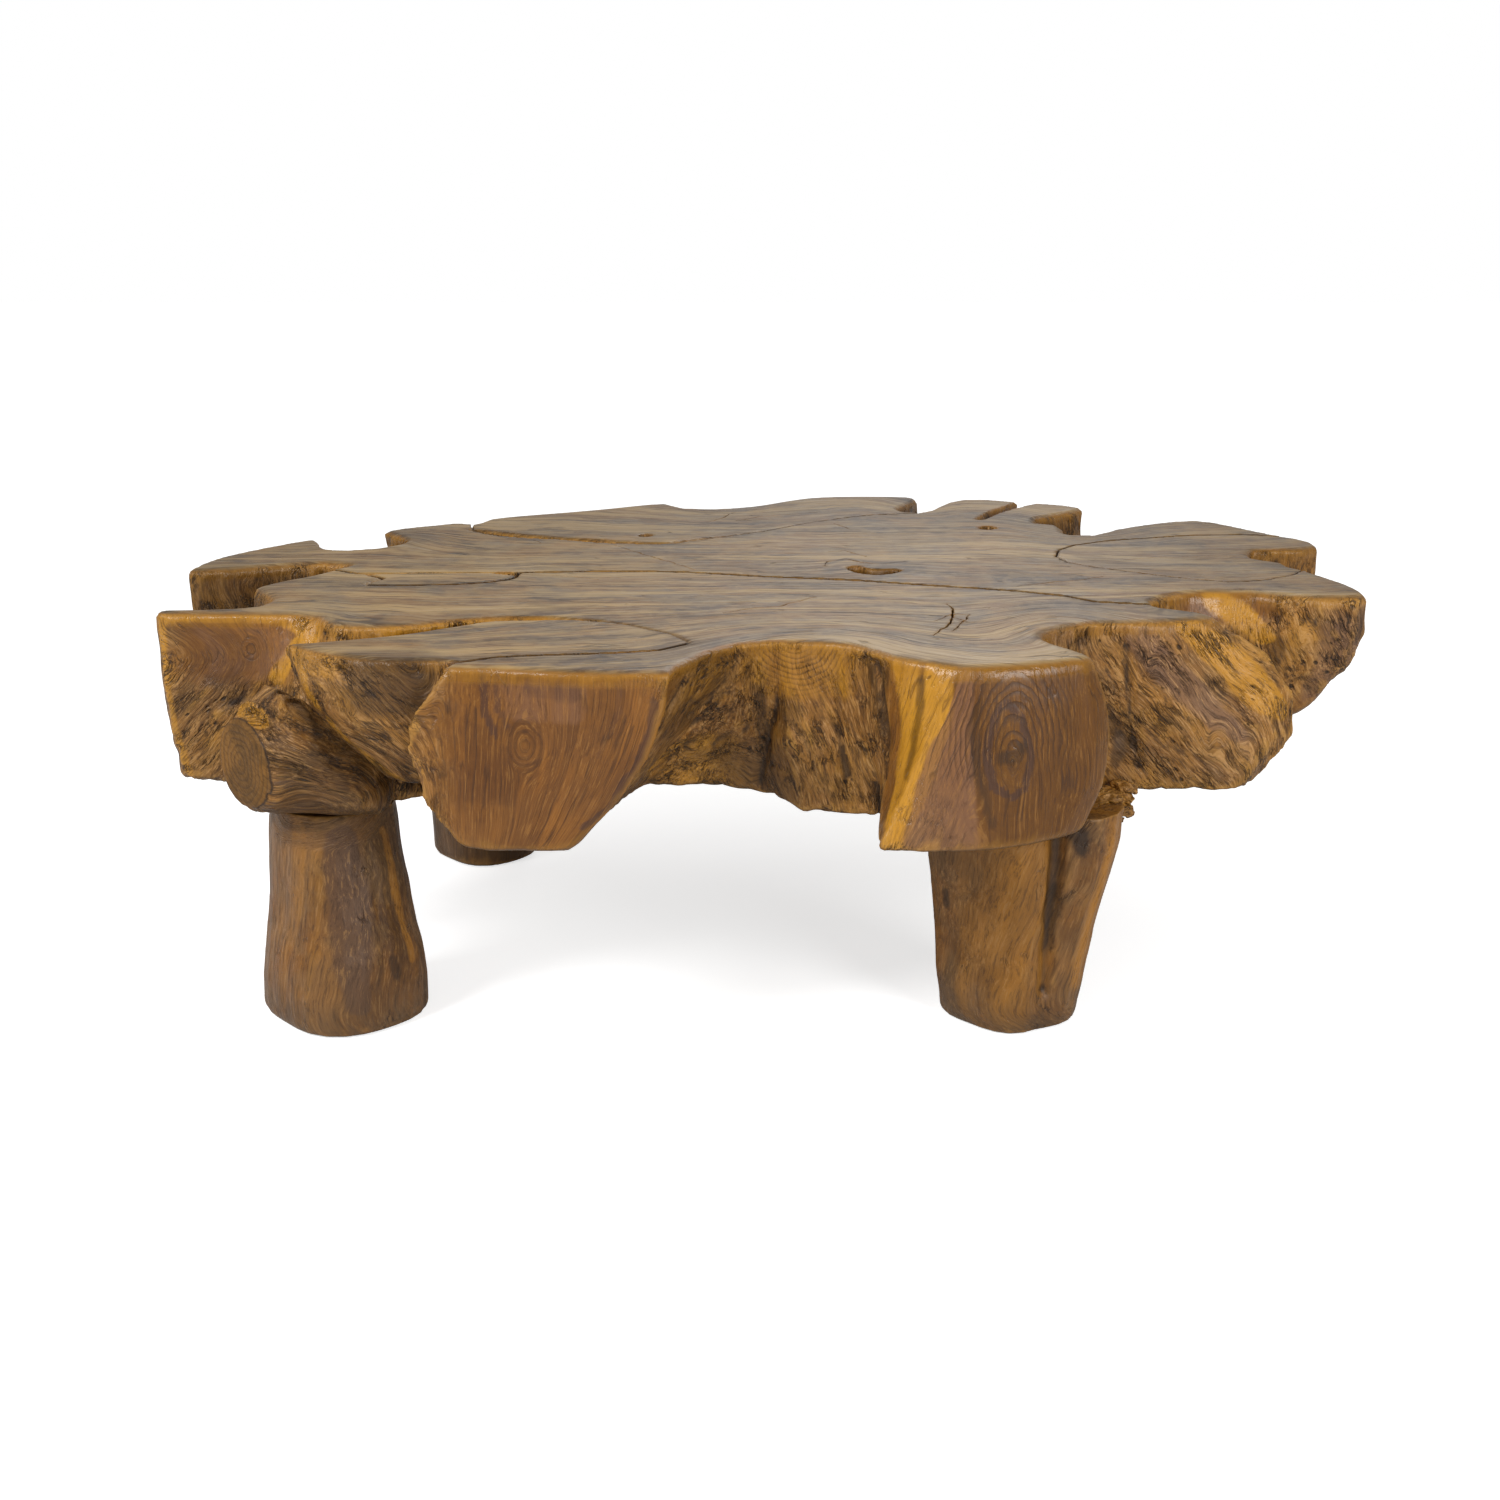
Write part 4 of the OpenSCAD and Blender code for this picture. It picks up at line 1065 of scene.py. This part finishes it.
def smoothed_leg(tree, place):
    """Legs: debarked root, smoothed and oiled, greyer towards the floor."""
    t = Finish(tree, place)
    grain = t.grain(300, 14, 0.006)
    ropes = t.grain(80, 9, 0.01)
    broad = t.grain(70, 6, 0.01)
    split = t.splits(110, 5, 0.42)["Split"]
    pit = t.pits(46, 0.24)
    t.start(t.ramp(broad["Streaks"], 0.42, 0.58), "#4f3211", "#774d1e")
    t.lay(t.blotch(10.0, 0.08), 0.45, "#5f4224")
    t.lay(ropes["Streaks"], 0.50, "#9a6820", 0.54, 0.64)
    t.lay(t.blotch(30.0, 0.08), 0.30, "#4c3319")
    t.lay(t.blotch(17.0, 0.06), 0.20, "#866a46")
    t.lay(t.streaky("purple", ropes, 0.70, 1.25), 0.80, "#543b28")
    t.lay(t.streaky("gold", ropes, 0.65, 1.25), 0.75, "#a87020")
    t.lay(grain["Fine"], 0.55, "#36210e", 0.52, 0.64)
    t.lay(grain["Fine"], 0.35, "#a27845", 0.46, 0.36)
    height_up = t.add("SeparateXYZ", {0: place}).outputs[2]
    foot = t.times(t.ramp(height_up, 0.075, 0.0), t.ramp(broad["Fine"], 0.35, 0.60, 0.4, 1.0))
    t.lay(foot, 0.55, "#53422f")
    # Painted highlight on the ridges, and painted shade deep in the hollows.
    t.lay("hollow", 0.45, "#b08140", 0.45, 0.25)
    t.lay("hollow", 0.80, "#1e1206", 0.56, 0.85)
    # Dark lines along crevices, and painted shade where the dark mark holds it.
    t.lay("dark", 0.80, "#221508")
    t.lay(split, 0.55, "#28180b")
    t.lay(pit, 0.75, "#20130a")
    # Painted shade on faces that look down.
    t.lay("under", 0.6, "#241708")
    rough = t.ramp(grain["Fine"], 0.3, 0.7, 0.34, 0.52)
    height = t.heights((grain["Fine"], 0.35), (ropes["Fine"], 0.5), (split, -0.6), (pit, -0.9))
    return t.colour, rough, height


def stub_end(tree, place):
    """The sawn end of the stub: dark olive brown, with faint rings."""
    t = Finish(tree, place)
    grain = t.grain(200, 8, 0.01)
    ring = t.rings(0.006)
    t.start(t.blotch(22.0, 0.12), "#5d3e12", "#7a521c")
    t.lay(grain["Fine"], 0.45, "#33230e", 0.50, 0.66)
    t.lay(grain["Fine"], 0.30, "#7d5a26", 0.46, 0.34)
    t.lay(ring, 0.40, "#31200c")
    rough = t.ramp(grain["Fine"], 0.3, 0.7, 0.62, 0.78)
    return t.colour, rough, t.heights((grain["Fine"], 0.2), (ring, -0.1))


def dowel_finish(tree, place):
    """Turned dowels: pale unfinished wood."""
    t = Nodes(tree)
    grain = t.placed(GRAIN, Place=place, Fibres=260, Length=14)
    colour = t.mixed(grain["Streaks"], tone("#a67d49"), tone("#bf9860"))
    return colour, t.ramp(grain["Fine"], 0.3, 0.7, 0.5, 0.65), grain["Fine"]


def join_finishes(t, share, a, b):
    """One finish over another by a mask."""
    rough, height = [
        t.add("Mix", {0: share, 2: a[k], 3: b[k]}, data_type="FLOAT").outputs[0] for k in (1, 2)
    ]
    return t.mixed(share, a[0], b[0]), rough, height


def stub_finish(tree, place):
    """The stub: rough wall on its sides, and its sawn end, with a dark line where they meet."""
    t = Nodes(tree)
    sawn = t.marked("sawn_end")
    colour, rough, height = join_finishes(t, sawn, root_wall(tree, place), stub_end(tree, place))
    line = t.times(t.ramp(sawn, 0.0, 0.45), t.ramp(sawn, 1.0, 0.55))
    return t.tinted(colour, line, 0.85, "#261708"), rough, height


def bare_material(name):
    """A material without nodes, and the way to add them."""
    material = bpy.data.materials.new(name)
    material.use_nodes = True
    material.node_tree.nodes.clear()
    return material, Nodes(material.node_tree)


def wooden_material(name, finish_of, bump_depth):
    material, t = bare_material(name)
    place = t.add("TexCoord", {}).outputs["Object"]
    colour, rough, height = finish_of(t.tree, place)
    bump = t.add("Bump", {"Height": height, "Strength": 1.0, "Distance": bump_depth})
    shader = t.add("BsdfPrincipled", {"Base Color": colour, "Roughness": rough,
                                      "Specular IOR Level": 0.32, "Normal": bump.outputs[0]})
    t.add("OutputMaterial", {"Surface": shader.outputs[0]}, is_active_output=True)
    return material


def slice_material(name, warm):
    """Root slice: top, sawn faces and rough walls, each where its mark says."""
    def finish(tree, place):
        t = Nodes(tree)
        wall = root_wall(tree, place)
        sides = join_finishes(t, t.marked("sawn"), wall, sawn_face(tree, place))
        return join_finishes(t, t.marked("flat_top"), sides, oiled_top(tree, place, warm))
    return wooden_material(name, finish, 1.5 * MM)


# ---------- pieces

CROWN = slice_material("crown_root", "#866a41")
REAR_ROOT = slice_material("rear_root", "#846a45")
FILLER = slice_material("filler_root", "#91744a")
STUB = wooden_material("stub_root", stub_finish, 1.5 * MM)
LEG = wooden_material("leg_root", smoothed_leg, 1.5 * MM)
DOWEL = wooden_material("turned_dowel", dowel_finish, 0.3 * MM)

# The pieces: how far apart the points of their mesh are in millimetres, material and slot.
SLICES = {
    "front_crown": (4.6, CROWN, "crown_wood"),
    "rear_crown": (5.0, CROWN, "crown_wood"),
    "rear_left_root": (4.2, REAR_ROOT, "crown_wood"),
    "right_infill": (3.4, FILLER, "filler_wood"),
    "front_left_infill": (3.0, FILLER, "filler_wood"),
    "boat_patch": (2.2, FILLER, "filler_wood"),
}
ROOTS = {
    "left_root_stub": (2.4, STUB, "root_wood"),
    "front_left_leg": (3.2, LEG, "leg_wood"),
    "front_right_leg": (3.2, LEG, "leg_wood"),
    "rear_left_leg": (3.8, LEG, "leg_wood"),
    "rear_right_leg": (3.8, LEG, "leg_wood"),
}
WOODEN = [*SLICES, *ROOTS]

# Flakes of bark: the middle, half the size in x, y, z, and the tilt.
BARK_FLAKES = [
    ((388, -318, 253), (27, 20, 7), 8), ((398, -322, 240), (18, 15, 8), 20),
    ((372, -326, 246), (17, 18, 10), -10), ((406, -312, 261), (15, 14, 5), 15),
    ((392, -330, 230), (12, 10, 6), 30),
]


def dress(obj, material, sharp_from):
    """Material, shading and place in the frame."""
    mesh = obj.data
    mesh.materials.clear()
    mesh.materials.append(material)
    mesh.shade_smooth()
    mesh.set_sharp_from_angle(angle=math.radians(sharp_from))
    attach(obj, "root")


def dress_wood(obj, name, material):
    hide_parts(name)
    dress(obj, material, 55)


def make_slice(name, spacing, material, slot):
    """A piece of the top: smooth edges, carved walls, and a top with grooves and cracks."""
    obj = even_copy(name, spacing * MM)
    mesh = obj.data
    p = points_of(mesh)
    clear = soft(2 * MM, 14 * MM, room_to_others(name, p))
    edge = clear * soft(0.995, 0.9, normals_of(mesh)[:, 2])
    p = smoothed(p, edges_of(mesh), edge, 4)
    set_points(mesh, p)
    n = normals_of(mesh)
    share = clear * soft(3 * MM, 14 * MM, TOP - p[:, 2])
    depth = wall_relief(p, fibre_place(p), zones(p, "sawn")) + hand_relief(p)
    set_points(mesh, sink_grooves(p - n * (depth * share)[:, None], n))
    open_cracks(obj, name)
    mark(obj, room_to_others(name, points_of(obj.data)))
    dress_wood(obj, name, material)


def leg_relief(p, fibres):
    """Dents and long furrows of a smoothed root."""
    dents = layered(p / 0.06, 201, 2) - 0.5
    return MM * (5.0 * dents + 2.0 * ridges(fibres / np.array([0.03, 0.03, 0.25]), 211))


def make_root(name, spacing, material, slot):
    """A leg, or the stub, whose sawn end stays flat."""
    obj = even_copy(name, spacing * MM)
    mesh = obj.data
    p = points_of(mesh)
    room = room_to_others(name, p)
    share = soft(1.5 * MM, 10 * MM, room) * soft(1 * MM, 8 * MM, p[:, 2])
    stub = name == "left_root_stub"
    if stub:
        share *= 1 - sawn_end(p)
    p = smoothed(p, edges_of(mesh), share, 8)
    set_points(mesh, p)
    fibres = fibre_place(p)
    depth = wall_relief(p, fibres, np.zeros(len(p))) if stub else leg_relief(p, fibres)
    depth += hand_relief(p)
    set_points(mesh, p - normals_of(mesh) * (depth * share)[:, None])
    mark(obj, room)
    dress_wood(obj, name, material)


def make_bark_fragment(name, material):
    """Ragged flakes of bark left on top of the front right leg."""
    work = bmesh.new()
    for middle, half, tilt in BARK_FLAKES:
        made = bmesh.ops.create_icosphere(work, subdivisions=5, radius=1.0)
        turn = Matrix.Rotation(math.radians(tilt), 3, "Y")
        for v in made["verts"]:
            q = turn @ Vector(c * h for c, h in zip(v.co, half))
            v.co = (q + Vector(middle)) * MM
    obj = new_object(name, mesh_from(work, name))
    p = points_of(obj.data)
    torn = np.abs(layered(p / np.array([0.011, 0.011, 0.006]), 401, 3) - 0.5) * 2
    set_points(obj.data, p - normals_of(obj.data) * (MM * 11 * (torn - 0.25))[:, None])
    mark(obj, np.full(len(p), 30 * MM))
    dress(obj, material, 50)


for piece, settings in SLICES.items():
    make_slice(piece, *settings)
for piece, settings in ROOTS.items():
    make_root(piece, *settings)
make_bark_fragment("bark_fragment", STUB)
for cad_name, cad_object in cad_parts.items():
    if cad_name not in WOODEN:
        cad_object.data.materials.clear()
        cad_object.data.materials.append(DOWEL)


# ---------- camera, floor and light

def make_camera():
    """A 60 mm lens that looks down by 15.7 degrees from the front."""
    camera = bpy.data.cameras.new("photo_camera")
    camera.sensor_fit = "HORIZONTAL"
    camera.sensor_width = 36
    camera.lens = 60
    camera.clip_end = 50
    obj = new_object("photo_camera", camera)
    obj.location = (-0.021, -3.045, 1.072)
    obj.rotation_euler = (math.radians(90 - 15.685), 0, 0)
    bpy.context.scene.camera = obj


def make_lamp(name, place, aim, size, watts):
    """A round area lamp that points at a height above the middle of the floor."""
    lamp = bpy.data.lights.new(name, "AREA")
    lamp.shape = "DISK"
    lamp.size = size
    lamp.energy = watts
    obj = new_object(name, lamp)
    obj.location = place
    direction = Vector(place) - Vector((0, 0, aim))
    obj.rotation_euler = direction.to_track_quat("Z", "Y").to_euler()


def make_floor():
    """Plain pale floor that keeps a soft shadow and reads white to the camera."""
    work = bmesh.new()
    bmesh.ops.create_grid(work, x_segments=1, y_segments=1, size=8)
    floor = new_object("floor", mesh_from(work, "floor"))
    material, t = bare_material("pale_floor")
    shade = t.add("BsdfDiffuse", {"Color": (0.82, 0.82, 0.82, 1)}).outputs[0]
    glow = t.add("Emission", {"Color": (1, 1, 1, 1), "Strength": 0.68}).outputs[0]
    both = t.add("AddShader", {0: shade, 1: glow}).outputs[0]
    seen = t.add("LightPath", {}).outputs["Is Camera Ray"]
    pick = t.add("MixShader", {0: seen, 1: shade, 2: both})
    t.add("OutputMaterial", {"Surface": pick.outputs[0]})
    floor.data.materials.append(material)


def make_world():
    """Even light, and white where the camera sees it."""
    world = bpy.data.worlds.new("studio")
    world.use_nodes = True
    bpy.context.scene.world = world
    world.node_tree.nodes.clear()
    t = Nodes(world.node_tree)
    path = t.add("LightPath", {}).outputs
    seen = t.maths("MAXIMUM", path["Is Camera Ray"], t.times(path["Is Glossy Ray"], 0.1))
    light = t.add("Background", {"Color": (1, 1, 1, 1), "Strength": 0.42}).outputs[0]
    white = t.add("Background", {"Color": (1, 1, 1, 1), "Strength": 1.0}).outputs[0]
    pick = t.add("MixShader", {0: seen, 1: light, 2: white})
    t.add("OutputWorld", {"Surface": pick.outputs[0]})


make_camera()
make_world()
make_floor()
make_lamp("key_lamp", (-2.2, -2.0, 2.4), 0.3, 1.2, 78)
make_lamp("fill_lamp", (2.0, -2.8, 1.5), 0.3, 1.4, 54)
make_lamp("back_lamp", (0.4, 2.8, 2.2), 0.4, 1.6, 13)
bpy.context.scene.view_settings.view_transform = "Standard"
